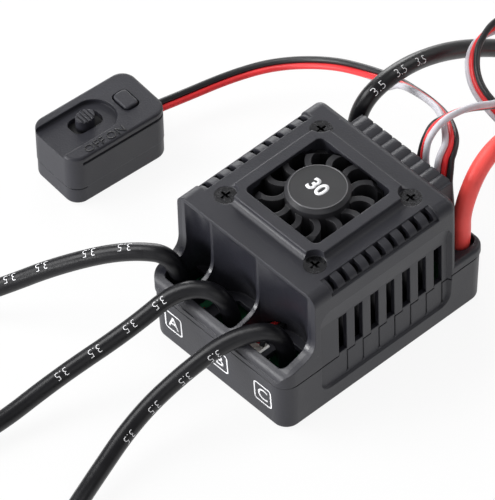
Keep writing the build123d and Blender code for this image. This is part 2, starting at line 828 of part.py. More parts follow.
# --- Cover screws ---------------------------------------------------------------------------
cone_height = screw_head_radius - screw_shank_radius
with BuildPart() as cover_screws:
    for x, y in fan_screws:
        with BuildSketch(Plane.XZ.offset(-y)):
            with BuildLine():
                Polyline(
                    (x, deck_height),
                    (x + screw_head_radius, deck_height),
                    (x + screw_shank_radius, deck_height - cone_height),
                    (x + screw_shank_radius, deck_height - screw_length),
                    (x, deck_height - screw_length),
                    close=True,
                )
            make_face()
        revolve(axis=Axis((x, y, 0), (0, 0, 1)))
    with BuildSketch(Plane.XY.offset(deck_height - screw_cross[2])):
        with Locations(*fan_screws):
            Rectangle(screw_cross[0], screw_cross[1])
            Rectangle(screw_cross[1], screw_cross[0])
    extrude(amount=screw_cross[2], mode=Mode.SUBTRACT)

# --- Fan: frame with its motor mount, bush and coils ------------------------------------------
mount_top = fan_frame_bottom + spoke_thickness
with BuildPart() as fan_frame:
    with BuildSketch(Plane.XY.offset(fan_frame_bottom)):
        with Locations((0, fan_y)):
            RectangleRounded(fan_size, fan_size, fan_corner)
            Circle(fan_bore, mode=Mode.SUBTRACT)
            with GridLocations(fan_hole_spacing, fan_hole_spacing, 2, 2):
                Circle(screw_shank_radius + screw_clearance, mode=Mode.SUBTRACT)
    extrude(amount=fan_frame_height)
    with BuildSketch(Plane.XY.offset(fan_frame_bottom)):
        with Locations((0, fan_y)):
            Circle(hub_radius)
            with PolarLocations(0, spoke_count):
                Rectangle(fan_bore + spoke_width, spoke_width, align=(Align.MIN, Align.CENTER))
            Circle(bush_radius, mode=Mode.SUBTRACT)
    extrude(amount=spoke_thickness)

coil_bottom = mount_top
coil_top = hub_top - hub_wall - coil_gap
with BuildPart() as fan_bush:
    with BuildSketch(Plane.XY.offset(fan_frame_bottom)):
        with Locations((0, fan_y)):
            Circle(bush_radius)
            Circle(shaft_radius + running_gap, mode=Mode.SUBTRACT)
    extrude(amount=coil_top - fan_frame_bottom)

with BuildPart() as fan_coils:
    with BuildSketch(Plane.XY.offset(coil_bottom)):
        with Locations((0, fan_y)):
            Circle(coil_hub)
            with PolarLocations(0, 4):
                Rectangle(coil_radius, coil_pole, align=(Align.MIN, Align.CENTER))
            with PolarLocations(coil_radius - coil_shoe[0] / 2, 4):
                Rectangle(*coil_shoe)
            Circle(bush_radius, mode=Mode.SUBTRACT)
    extrude(amount=coil_top - coil_bottom - coil_gap)

# --- Fan rotor: impeller, magnet ring, shaft and label ------------------------------------------
magnet_outer = hub_radius - hub_wall
blade_inner = hub_radius - blade_root
blade_middle = Vector((blade_inner + rotor_radius) / 2, 0).rotate(Axis.Z, blade_bow)
blade_end = Vector(rotor_radius - blade_tip_gap, 0).rotate(Axis.Z, blade_tip)
with BuildPart() as blade:
    with BuildSketch(Plane.XY.offset(rotor_bottom + blade_foot)):
        with BuildLine():
            ThreePointArc((blade_inner, 0), blade_middle, blade_end)
        trace(line_width=blade_thickness)
    extrude(amount=rotor_top - rotor_bottom - blade_foot)
    with BuildSketch(Plane.XZ):
        Polygon(
            (0, 0),
            (rotor_radius, 0),
            (rotor_radius, rotor_shoulder),
            (rotor_upper_radius, rotor_top),
            (0, rotor_top),
            align=None,
        )
    revolve(axis=Axis.Z, mode=Mode.INTERSECT)

with BuildPart() as impeller:
    with BuildSketch(Plane.XY.offset(rotor_bottom)):
        with Locations((0, fan_y)):
            Circle(hub_radius)
    extrude(amount=hub_top - rotor_bottom)
    chamfer(impeller.faces().sort_by(Axis.Z)[-1].edges(), hub_chamfer)
    with Locations((0, fan_y, 0)):
        with PolarLocations(0, blade_count):
            add(blade.part)
    with BuildSketch(Plane.XY.offset(rotor_bottom)):
        with Locations((0, fan_y)):
            Circle(magnet_outer)
    extrude(amount=hub_top - hub_wall - rotor_bottom, mode=Mode.SUBTRACT)

magnet_bottom = rotor_bottom + magnet_foot
with BuildPart() as magnet_ring:
    with BuildSketch(Plane.XY.offset(magnet_bottom)):
        with Locations((0, fan_y)):
            Circle(magnet_outer)
            Circle(magnet_outer - magnet_thickness, mode=Mode.SUBTRACT)
    extrude(amount=hub_top - hub_wall - magnet_bottom)

with BuildPart() as fan_shaft:
    with BuildSketch(Plane.XY.offset(fan_frame_bottom + shaft_foot)):
        with Locations((0, fan_y)):
            Circle(shaft_radius)
    extrude(amount=hub_top - hub_wall - fan_frame_bottom - shaft_foot)

with BuildPart() as hub_label:
    with BuildSketch(Plane.XY.offset(hub_top)):
        with Locations((0, fan_y)):
            Circle(label_radius)
    extrude(amount=label_thickness)

# --- Heat sink, capacitors and boards --------------------------------------------------------------
with BuildPart() as heat_sink:
    with BuildSketch(Plane.XY.offset(sink_bottom)):
        with Locations((0, fan_y)):
            Rectangle(sink_width, sink_length)
    extrude(amount=sink_base)
    with BuildSketch(Plane.XY.offset(sink_bottom)):
        with Locations((0, fan_y)):
            with GridLocations((sink_width - sink_fin) / (sink_fin_count - 1), 1, sink_fin_count, 1):
                Rectangle(sink_fin, sink_length)
    extrude(amount=sink_top - sink_bottom)

with BuildPart() as thermal_pad:
    with BuildSketch(Plane.XY.offset(fet_top)):
        with Locations((0, fan_y)):
            Rectangle(sink_width - 2 * pad_margin, sink_length - 2 * pad_margin)
    extrude(amount=pad_thickness)

with BuildPart() as power_board:
    with BuildSketch(Plane.XY.offset(power_board_bottom)):
        RectangleRounded(
            cavity_width - 2 * board_gap, cavity_length - 2 * board_gap, cavity_corner
        )
    extrude(amount=power_board_thickness)

with BuildPart() as mosfets:
    with BuildSketch(Plane.XY.offset(power_board_top)):
        with Locations((0, fan_y)):
            with GridLocations(*fet_pitch, fet_columns, fet_rows):
                Rectangle(fet_size[0], fet_size[1])
    extrude(amount=fet_size[2])

with BuildPart() as capacitors:
    with BuildSketch(Plane.XY.offset(power_board_top)):
        with Locations((bulge_middle, capacitor_y)):
            with GridLocations(capacitor_pitch, 1, capacitor_count, 1):
                Circle(capacitor_radius)
    extrude(amount=capacitor_top - power_board_top)
    fillet(capacitors.faces().group_by(Axis.Z)[-1].edges(), capacitor_edge)

with BuildPart() as status_led:
    with BuildSketch(Plane.XY.offset(power_board_top)):
        with Locations(light_place):
            Rectangle(led_size[0], led_size[1])
    extrude(amount=led_size[2])

with BuildPart() as control_board:
    with BuildSketch(Plane.XY.offset(control_board_bottom)):
        Rectangle(2 * (post_x - post_radius - board_gap), control_board_length)
    extrude(amount=control_board_thickness)

with BuildPart() as board_header:
    with BuildSketch(Plane.XY.offset(control_board_top)):
        with Locations((0, header_inset - control_board_length / 2)):
            with GridLocations(header_pitch, 1, header_pins, 1):
                Circle(header_radius)
    extrude(amount=power_board_bottom - control_board_top)

# --- Motor wires with their bullet plugs --------------------------------------------------------------
motor_wires = {}
bullet_plugs = {}
plug_sleeves = {}
for phase, route in (("a", motor_a_route), ("b", motor_b_route), ("c", motor_c_route)):
    motor_wires[phase] = tube(route, wire_diameter, f"motor_wire_{phase}")
    tip = end_plane(route)
    with BuildPart() as bullet:
        with BuildSketch(tip):
            Circle(bullet_barrel[0])
        extrude(amount=bullet_barrel[1])
        with BuildSketch(tip.offset(bullet_barrel[1])):
            Circle(bullet_neck[0])
        extrude(amount=bullet_neck[1])
        pin_start = bullet_barrel[1] + bullet_neck[1]
        with BuildSketch(tip.offset(pin_start)):
            Circle(bullet_pin[0])
        extrude(amount=bullet_pin[1])
        fillet(bullet.faces().sort_by(Axis(tip.origin, tip.z_dir))[-1].edges(), bullet_nose)
        with BuildSketch(tip.offset(pin_start + bullet_slit_start)):
            Rectangle(bullet_slit, 3 * bullet_pin[0])
        extrude(amount=bullet_pin[1], mode=Mode.SUBTRACT)
    bullet_plugs[phase] = bullet
    with BuildPart() as sleeve:
        with BuildSketch(tip.offset(-sleeve_overlap)):
            Circle(bullet_barrel[0] + sleeve_gap + sleeve_thickness)
            Circle(bullet_barrel[0] + sleeve_gap, mode=Mode.SUBTRACT)
        extrude(amount=bullet_barrel[1] + sleeve_overlap)
    plug_sleeves[phase] = sleeve

# --- Battery wires with their plug ---------------------------------------------------------------------
negative_wire = tube(negative_route, wire_diameter, "battery_wire_negative")
positive_wire = tube(positive_route, wire_diameter, "battery_wire_positive")
plug_y = negative_route[-1][1]
plug_x = (negative_route[-1][0] + positive_route[-1][0]) / 2
with BuildPart() as battery_plug:
    with BuildSketch(Plane.XZ.offset(-plug_y)):
        with Locations((plug_x, plug_size[2] / 2)):
            RectangleRounded(plug_size[0], plug_size[2], plug_corner)
    extrude(amount=-plug_size[1])
    with BuildSketch(Plane.XZ.offset(-plug_y - plug_size[1])):
        with Locations((plug_x, plug_size[2] / 2)):
            RectangleRounded(
                plug_size[0] - 2 * plug_collar_inset,
                plug_size[2] - 2 * plug_collar_inset,
                plug_collar_corner,
            )
    extrude(amount=-plug_collar)
with BuildPart() as plug_blades:
    with BuildSketch(Plane.XZ.offset(-plug_y - plug_size[1] - plug_collar)):
        with Locations((plug_x + plug_blade_places[0], plug_size[2] / 2)):
            Rectangle(plug_blade[2], plug_upright_blade)
        with Locations((plug_x + plug_blade_places[1], plug_size[2] / 2)):
            Rectangle(plug_blade[0], plug_blade[2])
    extrude(amount=-plug_blade[1])

# --- Receiver lead with its three-way plug ------------------------------------------------------------------
receiver_lead = tube(receiver_route, lead_diameter, "receiver_lead")
servo_face = end_plane(receiver_route)
with BuildPart() as receiver_plug:
    with BuildSketch(servo_face):
        Rectangle(servo_plug_size[0], servo_plug_size[2])
    extrude(amount=servo_plug_size[1])
    fillet(
        receiver_plug.edges().filter_by(Axis(servo_face.origin, servo_face.z_dir)), servo_corner
    )
    with BuildSketch(servo_face.offset(servo_back)):
        with GridLocations(servo_pitch, 1, servo_ways, 1):
            Rectangle(servo_bore, servo_bore)
    extrude(amount=servo_plug_size[1], mode=Mode.SUBTRACT)
with BuildPart() as receiver_contacts:
    contact_bore = servo_bore - 2 * servo_contact_wall
    with BuildSketch(servo_face.offset(servo_back)):
        with GridLocations(servo_pitch, 1, servo_ways, 1):
            Rectangle(servo_bore, servo_bore)
            Rectangle(contact_bore, contact_bore, mode=Mode.SUBTRACT)
    extrude(amount=servo_plug_size[1] - servo_back - servo_contact_inset)

# --- Switch box ------------------------------------------------------------------------------------------------
inner_width = switch_width - 2 * switch_wall
inner_length = switch_length - 2 * switch_wall
inner_corner = switch_corner - switch_wall
switch_posts = [
    (side * (inner_width / 2 - switch_post_inset), end * (inner_length / 2 - switch_post_inset))
    for side in (-1, 1)
    for end in (-1, 1)
]
switch_lead = tube(switch_route, lead_diameter, "switch_lead")
with BuildPart() as switch_case_lower:
    with BuildSketch(switch_place):
        RectangleRounded(
            switch_width - 2 * switch_base_inset,
            switch_length - 2 * switch_base_inset,
            switch_corner - switch_base_inset,
        )
    extrude(amount=switch_split)
    fillet(switch_case_lower.faces().sort_by(Axis.Z)[0].edges(), switch_base_edge)
    with BuildSketch(switch_place.offset(switch_floor)):
        RectangleRounded(inner_width, inner_length, inner_corner)
    extrude(amount=switch_split, mode=Mode.SUBTRACT)
    with BuildSketch(switch_place.offset(switch_floor)):
        with Locations(*switch_posts):
            Circle(switch_post_radius)
    extrude(amount=switch_board_bottom - switch_floor)
    with BuildSketch(switch_place.offset(switch_split - switch_joint[0])):
        with Locations((0, switch_joint_length - switch_length / 2)):
            Rectangle(2 * switch_width, switch_length, align=(Align.CENTER, Align.MAX))
        RectangleRounded(
            switch_width - 2 * (switch_base_inset + switch_joint[1]),
            switch_length - 2 * (switch_base_inset + switch_joint[1]),
            switch_corner - switch_joint[1],
            mode=Mode.SUBTRACT,
        )
    extrude(amount=switch_joint[0], mode=Mode.SUBTRACT)

with BuildPart() as switch_case_upper:
    with BuildSketch(switch_place.offset(switch_split)):
        RectangleRounded(switch_width, switch_length, switch_corner)
    extrude(amount=switch_top - switch_split)
    fillet(switch_case_upper.faces().sort_by(Axis.Z)[-1].edges(), switch_edge)
    with BuildSketch(switch_place.offset(switch_split)):
        RectangleRounded(inner_width, inner_length, inner_corner)
    extrude(amount=switch_ceiling - switch_split, mode=Mode.SUBTRACT)
    with BuildSketch(switch_place.offset(switch_groove_top - switch_groove_height)):
        with Locations((0, switch_groove_start - switch_length / 2)):
            Rectangle(2 * switch_width, 2 * switch_length, align=(Align.CENTER, Align.MIN))
        RectangleRounded(
            switch_width - 2 * switch_groove_depth,
            switch_length - 2 * switch_groove_depth,
            switch_corner,
            mode=Mode.SUBTRACT,
        )
    extrude(amount=switch_groove_height, mode=Mode.SUBTRACT)
    # channel round the knob, open at the near end
    with BuildSketch(switch_place.offset(switch_top - recess_depth)):
        recess_width = recess_right - recess_left
        recess_middle = (recess_left + recess_right) / 2
        with Locations((recess_middle, recess_end - switch_length)):
            SlotOverall(2 * switch_length, recess_width, rotation=90)
    extrude(amount=switch_top, mode=Mode.SUBTRACT)
    with BuildSketch(switch_place.offset(switch_ceiling)):
        with Locations(slot_centre):
            RectangleRounded(*slot_size, slot_corner)
        with Locations(button_centre):
            RectangleRounded(
                button_size[0] + 2 * button_gap,
                button_size[1] + 2 * button_gap,
                button_corner + button_gap,
            )
    extrude(amount=switch_top, mode=Mode.SUBTRACT)
    lead_hole_plane = Plane(
        origin=switch_point(0, switch_length / 2, switch_lead_height),
        x_dir=switch_place.x_dir,
        z_dir=-switch_place.y_dir,
    )
    with BuildSketch(lead_hole_plane):
        Circle(lead_diameter / 2 + lead_hole_gap)
    extrude(amount=2 * switch_wall, mode=Mode.SUBTRACT)

with BuildPart() as switch_board:
    with BuildSketch(switch_place.offset(switch_board_bottom)):
        RectangleRounded(
            inner_width - 2 * switch_board_gap,
            inner_length - 2 * switch_board_gap,
            switch_board_corner,
        )
    extrude(amount=switch_board_thickness)

with BuildPart() as slide_switch_body:
    with BuildSketch(switch_place.offset(switch_board_top)):
        with Locations(slot_centre):
            Rectangle(*slide_body)
    extrude(amount=switch_ceiling - switch_board_top - 2 * small_gap)

with BuildPart() as switch_knob:
    with BuildSketch(switch_place.offset(switch_ceiling)):
        with Locations(slot_centre):
            Ellipse(knob_size[0] / 2, knob_size[1] / 2)
    extrude(amount=knob_top - switch_ceiling)
    with BuildSketch(switch_place.offset(knob_top - knob_groove[1])):
        with Locations(slot_centre):
            with GridLocations(1, knob_ridge_pitch, 1, knob_ridges):
                Rectangle(2 * knob_size[0], knob_groove[0])
    extrude(amount=knob_groove[1], mode=Mode.SUBTRACT)

flange_top = switch_ceiling - small_gap
flange_bottom = flange_top - button_flange_thickness
with BuildPart() as set_button:
    with BuildSketch(switch_place.offset(flange_bottom)):
        with Locations(button_centre):
            Rectangle(
                button_size[0] + 2 * (button_gap + button_flange),
                button_size[1] + 2 * (button_gap + button_flange),
            )
    extrude(amount=button_flange_thickness)
    with BuildSketch(switch_place.offset(flange_top)):
        with Locations(button_centre):
            RectangleRounded(*button_size, button_corner)
    extrude(amount=button_top - flange_top)
    fillet(set_button.faces().sort_by(Axis.Z)[-1].edges(), button_edge)

with BuildPart() as tact_switch:
    with BuildSketch(switch_place.offset(switch_board_top)):
        with Locations(button_centre):
            Rectangle(tact_size[0], tact_size[1])
    extrude(amount=tact_size[2])
    tact_top = switch_board_top + tact_size[2]
    with BuildSketch(switch_place.offset(tact_top)):
        with Locations(button_centre):
            Circle(tact_plunger)
    extrude(amount=flange_bottom - button_travel - small_gap - tact_top)

# --- Names and files ---------------------------------------------------------------------------------------------
pieces = {
    "lower_case": lower_case,
    "upper_case": upper_case,
    "cover_screws": cover_screws,
    "fan_frame": fan_frame,
    "fan_bush": fan_bush,
    "fan_coils": fan_coils,
    "impeller": impeller,
    "magnet_ring": magnet_ring,
    "fan_shaft": fan_shaft,
    "hub_label": hub_label,
    "heat_sink": heat_sink,
    "thermal_pad": thermal_pad,
    "power_board": power_board,
    "mosfets": mosfets,
    "capacitors": capacitors,
    "status_led": status_led,
    "control_board": control_board,
    "board_header": board_header,
    "motor_wire_a": motor_wires["a"],
    "motor_wire_b": motor_wires["b"],
    "motor_wire_c": motor_wires["c"],
    "bullet_plug_a": bullet_plugs["a"],
    "bullet_plug_b": bullet_plugs["b"],
    "bullet_plug_c": bullet_plugs["c"],
    "plug_sleeve_a": plug_sleeves["a"],
    "plug_sleeve_b": plug_sleeves["b"],
    "plug_sleeve_c": plug_sleeves["c"],
    "battery_wire_negative": negative_wire,
    "battery_wire_positive": positive_wire,
    "battery_plug": battery_plug,
    "plug_blades": plug_blades,
    "receiver_lead": receiver_lead,
    "receiver_plug": receiver_plug,
    "receiver_contacts": receiver_contacts,
    "switch_lead": switch_lead,
    "switch_case_lower": switch_case_lower,
    "switch_case_upper": switch_case_upper,
    "switch_board": switch_board,
    "slide_switch_body": slide_switch_body,
    "tact_switch": tact_switch,
    "switch_knob": switch_knob,
    "set_button": set_button,
}
for name, piece in pieces.items():
    piece.part.label = name
    export_step(piece.part, f"parts/{name}.step")
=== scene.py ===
"""A model car's speed controller with its fan, wires, leads and switch box, over the CAD frame."""

import json
import math

import bmesh
import bpy
from mathutils import Matrix, Vector


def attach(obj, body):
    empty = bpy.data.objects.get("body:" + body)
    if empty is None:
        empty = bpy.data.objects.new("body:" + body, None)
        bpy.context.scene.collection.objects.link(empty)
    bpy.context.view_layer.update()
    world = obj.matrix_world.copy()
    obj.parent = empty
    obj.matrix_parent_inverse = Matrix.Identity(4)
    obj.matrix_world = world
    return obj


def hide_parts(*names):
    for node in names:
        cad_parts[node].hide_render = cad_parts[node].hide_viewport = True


MM = 0.001
ROOT = "controller"

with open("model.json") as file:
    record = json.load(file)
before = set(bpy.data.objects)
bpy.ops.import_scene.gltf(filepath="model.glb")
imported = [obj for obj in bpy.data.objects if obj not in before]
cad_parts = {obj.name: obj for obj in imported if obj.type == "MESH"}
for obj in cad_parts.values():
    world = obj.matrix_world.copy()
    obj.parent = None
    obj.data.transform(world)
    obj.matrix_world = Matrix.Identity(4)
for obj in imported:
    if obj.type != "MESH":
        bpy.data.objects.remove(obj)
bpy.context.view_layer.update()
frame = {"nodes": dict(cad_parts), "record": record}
nodes = frame["nodes"]


def new_object(name, data):
    """Makes an object of some data, in the scene."""
    made = bpy.data.objects.new(name, data)
    bpy.context.scene.collection.objects.link(made)
    return made


# --- Camera ---------------------------------------------------------------------------
CAMERA_AZIMUTH = 48.738
CAMERA_ELEVATION = 47.656
CAMERA_ROLL = -1.958
CAMERA_DISTANCE = 1368.9 * MM
CAMERA_ACROSS = -13.318 * MM  # how far the picture's middle is right of the origin
CAMERA_UP = 11.204 * MM  # and above it
FOCAL_PIXELS = 7347.5
PICTURE_HEIGHT = 500
SENSOR = 36.0
CLIP_END = 20


def make_camera():
    """The camera, turned round the origin by azimuth, elevation and roll."""
    azimuth, elevation, roll = (
        math.radians(a) for a in (CAMERA_AZIMUTH, CAMERA_ELEVATION, CAMERA_ROLL)
    )
    back = Vector(
        (
            math.sin(azimuth) * math.cos(elevation),
            -math.cos(azimuth) * math.cos(elevation),
            math.sin(elevation),
        )
    )
    level = Vector((math.cos(azimuth), math.sin(azimuth), 0))
    upward = back.cross(level)
    right = level * math.cos(roll) + upward * math.sin(roll)
    up = upward * math.cos(roll) - level * math.sin(roll)
    place = right * CAMERA_ACROSS + up * CAMERA_UP + back * CAMERA_DISTANCE
    data = bpy.data.cameras.new("camera")
    data.sensor_width = SENSOR
    data.lens = FOCAL_PIXELS * SENSOR / PICTURE_HEIGHT
    data.clip_end = CLIP_END
    camera = new_object("camera", data)
    camera.matrix_world = Matrix(
        [(right[i], up[i], back[i], place[i]) for i in range(3)] + [(0, 0, 0, 1)]
    )
    bpy.context.scene.camera = camera


make_camera()


# --- Shader helpers --------------------------------------------------------------------
RAMP_ENDS = (0.3, 0.7)  # the part of a noise's range that its two shades are spread over
PLASTIC_SPECULAR = 0.38
PLASTIC_PATCHES = (90, 3)  # features per metre, detail
PLASTIC_DUST = (700, 0.055)  # cells per metre, a speck's size in cells
SILICONE_SPECULAR = 0.35
SILICONE_PATCHES = (260, 4)
SILICONE_DUST = (600, 0.06)
SILICONE_GRAIN = (1500, 2)
SILICONE_DEPTH = 0.00002
METAL_DETAIL = 3
METAL_DEPTH = 0.00001


def new_material(name, color, roughness, metallic=0.0):
    """A material with one Principled shader; returns it with its tree and shader."""
    material = bpy.data.materials.new(name)
    material.use_nodes = True
    tree = material.node_tree
    shader = tree.nodes["Principled BSDF"]
    shader.inputs["Base Color"].default_value = (*color, 1)
    shader.inputs["Roughness"].default_value = roughness
    shader.inputs["Metallic"].default_value = metallic
    return material, tree, shader


def math_node(tree, operation, first, second):
    """One math node over two values, each a socket or a number."""
    node = tree.nodes.new("ShaderNodeMath")
    node.operation = operation
    for socket, value in zip(node.inputs, (first, second)):
        if isinstance(value, (int, float)):
            socket.default_value = value
        else:
            tree.links.new(value, socket)
    return node.outputs[0]


def object_coordinates(tree, stretch=(1, 1, 1)):
    """The object's own coordinates, stretched along its axes."""
    coords = tree.nodes.new("ShaderNodeTexCoord")
    mapping = tree.nodes.new("ShaderNodeMapping")
    mapping.inputs["Scale"].default_value = stretch
    tree.links.new(coords.outputs["Object"], mapping.inputs["Vector"])
    return mapping.outputs["Vector"]


def noise(tree, scale, detail=2.0, stretch=(1, 1, 1)):
    """A noise texture over object coordinates, its scale in features per metre."""
    texture = tree.nodes.new("ShaderNodeTexNoise")
    texture.inputs["Scale"].default_value = scale
    texture.inputs["Detail"].default_value = detail
    tree.links.new(object_coordinates(tree, stretch), texture.inputs["Vector"])
    return texture.outputs["Fac"]


def ramp(tree, source, stops):
    """A colour ramp over a value: stops are (place, colour)."""
    node = tree.nodes.new("ShaderNodeValToRGB")
    elements = node.color_ramp.elements
    while len(elements) < len(stops):
        elements.new(0.5)
    for element, (place, color) in zip(elements, stops):
        element.position = place
        element.color = (*color, 1)
    tree.links.new(source, node.inputs["Fac"])
    return node.outputs["Color"]


def ramp_stops(low, high):
    """The stops of a ramp between two colours."""
    return list(zip(RAMP_ENDS, (low, high)))


def grey(value):
    """The colour with all three channels at one value."""
    return (value, value, value)


def dust(tree, per_metre, size, share):
    """1 on a scatter of small specks, 0 elsewhere: size is in cells, share of the cells."""
    cells = tree.nodes.new("ShaderNodeTexVoronoi")
    cells.inputs["Scale"].default_value = per_metre
    tree.links.new(object_coordinates(tree), cells.inputs["Vector"])
    split = tree.nodes.new("ShaderNodeSeparateColor")
    tree.links.new(cells.outputs["Color"], split.inputs["Color"])
    near = math_node(tree, "LESS_THAN", cells.outputs["Distance"], size)
    chosen = math_node(tree, "LESS_THAN", split.outputs["Red"], share)
    return math_node(tree, "MULTIPLY", near, chosen)


def vary_color(tree, shader, source, dark, light, specks=None, speck_color=grey(0.25)):
    """A base colour between two shades, with specks of a third where they are asked for."""
    color = ramp(tree, source, ramp_stops(dark, light))
    if specks is not None:
        mix = tree.nodes.new("ShaderNodeMix")
        mix.data_type = "RGBA"
        tree.links.new(specks, mix.inputs["Factor"])
        tree.links.new(color, mix.inputs["A"])
        mix.inputs["B"].default_value = (*speck_color, 1)
        color = mix.outputs["Result"]
    tree.links.new(color, shader.inputs["Base Color"])


def vary_roughness(tree, shader, source, low, high):
    """A roughness between two values."""
    rough = ramp(tree, source, ramp_stops(grey(low), grey(high)))
    tree.links.new(rough, shader.inputs["Roughness"])


def bump(tree, shader, height, distance, edge=0.0):
    """Fine relief, over edges softened by the given radius."""
    node = tree.nodes.new("ShaderNodeBump")
    node.inputs["Strength"].default_value = 1.0
    node.inputs["Distance"].default_value = distance
    tree.links.new(height, node.inputs["Height"])
    if edge:
        soft = tree.nodes.new("ShaderNodeBevel")
        soft.samples = 4
        soft.inputs["Radius"].default_value = edge
        tree.links.new(soft.outputs["Normal"], node.inputs["Normal"])
    tree.links.new(node.outputs["Normal"], shader.inputs["Normal"])


def polish_bay(material, corner, foot, roughness, gloss):
    """Polishes the walls of the wire bay: above its foot, and under, within and before a corner.

    The specular level is the same all over the material.
    """
    tree = material.node_tree
    shader = tree.nodes["Principled BSDF"]
    split = tree.nodes.new("ShaderNodeSeparateXYZ")
    tree.links.new(object_coordinates(tree), split.inputs["Vector"])
    across = math_node(tree, "ABSOLUTE", split.outputs["X"], 0)
    inside = math_node(tree, "LESS_THAN", across, corner[0])
    before = math_node(tree, "LESS_THAN", split.outputs["Y"], corner[1])
    under = math_node(tree, "LESS_THAN", split.outputs["Z"], corner[2])
    above = math_node(tree, "GREATER_THAN", split.outputs["Z"], foot)
    across_share = math_node(tree, "MULTIPLY", inside, before)
    upright_share = math_node(tree, "MULTIPLY", above, under)
    share = math_node(tree, "MULTIPLY", across_share, upright_share)
    shader.inputs["Specular IOR Level"].default_value = gloss
    mix = tree.nodes.new("ShaderNodeMix")
    tree.links.new(share, mix.inputs["Factor"])
    tree.links.new(shader.inputs["Roughness"].links[0].from_socket, mix.inputs["A"])
    mix.inputs["B"].default_value = roughness
    tree.links.new(mix.outputs["Result"], shader.inputs["Roughness"])


def moulded_plastic(name, color, roughness, grain, depth, edge=0.0, specks=0.0):
    """Moulded plastic with a fine spark texture, slightly uneven gloss and a little dust."""
    material, tree, shader = new_material(name, color, roughness)
    shader.inputs["Specular IOR Level"].default_value = PLASTIC_SPECULAR
    patches = noise(tree, *PLASTIC_PATCHES)
    scatter = dust(tree, *PLASTIC_DUST, specks) if specks else None
    dark = [c * 0.92 for c in color]
    light = [c * 1.1 for c in color]
    vary_color(tree, shader, patches, dark, light, scatter)
    vary_roughness(tree, shader, patches, roughness - 0.04, roughness + 0.04)
    bump(tree, shader, noise(tree, grain, 2), depth, edge)
    return material


def silicone(name, color, roughness, specks=0.0):
    """Silicone rubber: satin, with faint drawing marks and dust."""
    material, tree, shader = new_material(name, color, roughness)
    shader.inputs["Specular IOR Level"].default_value = SILICONE_SPECULAR
    patches = noise(tree, *SILICONE_PATCHES)
    scatter = dust(tree, *SILICONE_DUST, specks) if specks else None
    dark = [c * 0.88 for c in color]
    light = [min(c * 1.12, 0.95) for c in color]
    vary_color(tree, shader, patches, dark, light, scatter)
    vary_roughness(tree, shader, patches, roughness - 0.05, roughness + 0.08)
    bump(tree, shader, noise(tree, *SILICONE_GRAIN), SILICONE_DEPTH)
    return material


def metal(name, color, roughness, scale=900, stretch=(1, 1, 6)):
    """Bare or plated metal with fine drawing marks."""
    material, tree, shader = new_material(name, color, roughness, 1.0)
    marks = noise(tree, scale, METAL_DETAIL, stretch)
    vary_color(tree, shader, marks, [c * 0.85 for c in color], color)
    vary_roughness(tree, shader, marks, roughness - 0.05, roughness + 0.1)
    bump(tree, shader, marks, METAL_DEPTH)
    return material


# colour, roughness, grains per metre, their depth, radius of the softened edges, share of dust
CASE_FINISH = ((0.020, 0.0202, 0.0265), 0.45, 2600, 0.00003, 0.0003, 0.012)
CASE_BLACK = moulded_plastic("case_black", *CASE_FINISH)
COVER_BLACK = moulded_plastic("cover_black", *CASE_FINISH)
BAY_CORNER = (17.4 * MM, -13.4 * MM, 30.2 * MM)
BAY_FOOT = 15 * MM
BAY_ROUGHNESS = 0.28
COVER_SPECULAR = 0.42
polish_bay(COVER_BLACK, BAY_CORNER, BAY_FOOT, BAY_ROUGHNESS, COVER_SPECULAR)
FAN_BLACK = moulded_plastic("fan_black", (0.026, 0.026, 0.029), 0.34, 1200, 0.00001, 0.0002)
LABEL_GREY = moulded_plastic("label_grey", (0.034, 0.034, 0.036), 0.4, 1200, 0.00001)
# the hub rim's lighter grey is a painted highlight on what is the fan's black plastic
RIM_PAINTED_HIGHLIGHT = moulded_plastic("rim_painted_highlight", (0.12, 0.12, 0.125), 0.22, 1200, 0.00001)
CHIP_BLACK = moulded_plastic("chip_black", (0.015, 0.015, 0.016), 0.5, 1800, 0.00002)
WIRE_BLACK = silicone("wire_black", (0.005, 0.005, 0.0065), 0.34, 0.03)
WIRE_RED = silicone("wire_red", (0.93, 0.085, 0.075), 0.4)
LEAD_BLACK = silicone("lead_black", (0.018, 0.018, 0.02), 0.38)
LEAD_RED = silicone("lead_red", (0.72, 0.03, 0.035), 0.38)
LEAD_WHITE = silicone("lead_white", (0.52, 0.51, 0.55), 0.42)
GOLD = metal("gold", (0.95, 0.72, 0.32), 0.22)
STEEL = metal("steel", (0.62, 0.62, 0.63), 0.3)
SCREW_BLACK = metal("screw_black", (0.1, 0.1, 0.105), 0.22, 1500, (1, 1, 1))
SINK_BLACK = metal("sink_black", (0.03, 0.03, 0.033), 0.4)
COPPER = metal("copper", (0.85, 0.45, 0.25), 0.3)
BRONZE = metal("bronze", (0.55, 0.38, 0.2), 0.45, 2500, (1, 1, 1))
MAGNET = moulded_plastic("magnet", (0.03, 0.028, 0.028), 0.6, 3000, 0.00003)
BOARD_GREEN = moulded_plastic("board_green", (0.02, 0.16, 0.07), 0.35, 900, 0.00002)
WHITE_INK = moulded_plastic("white_ink", (0.82, 0.82, 0.84), 0.5, 1500, 0.00001)
PLUG_WHITE = moulded_plastic("plug_white", (0.9, 0.89, 0.86), 0.4, 1500, 0.00001)
PLUG_RED = moulded_plastic("plug_red", (0.5, 0.015, 0.012), 0.35, 1500, 0.00002, 0.0002)
PLUG_BLACK = moulded_plastic("plug_black", (0.02, 0.02, 0.021), 0.38, 1500, 0.00002, 0.0001)
SLEEVE_BLUE = silicone("sleeve_blue", (0.012, 0.012, 0.03), 0.3)
LENS_RED = moulded_plastic("lens_red", (0.6, 0.03, 0.02), 0.2, 800, 0.00001)


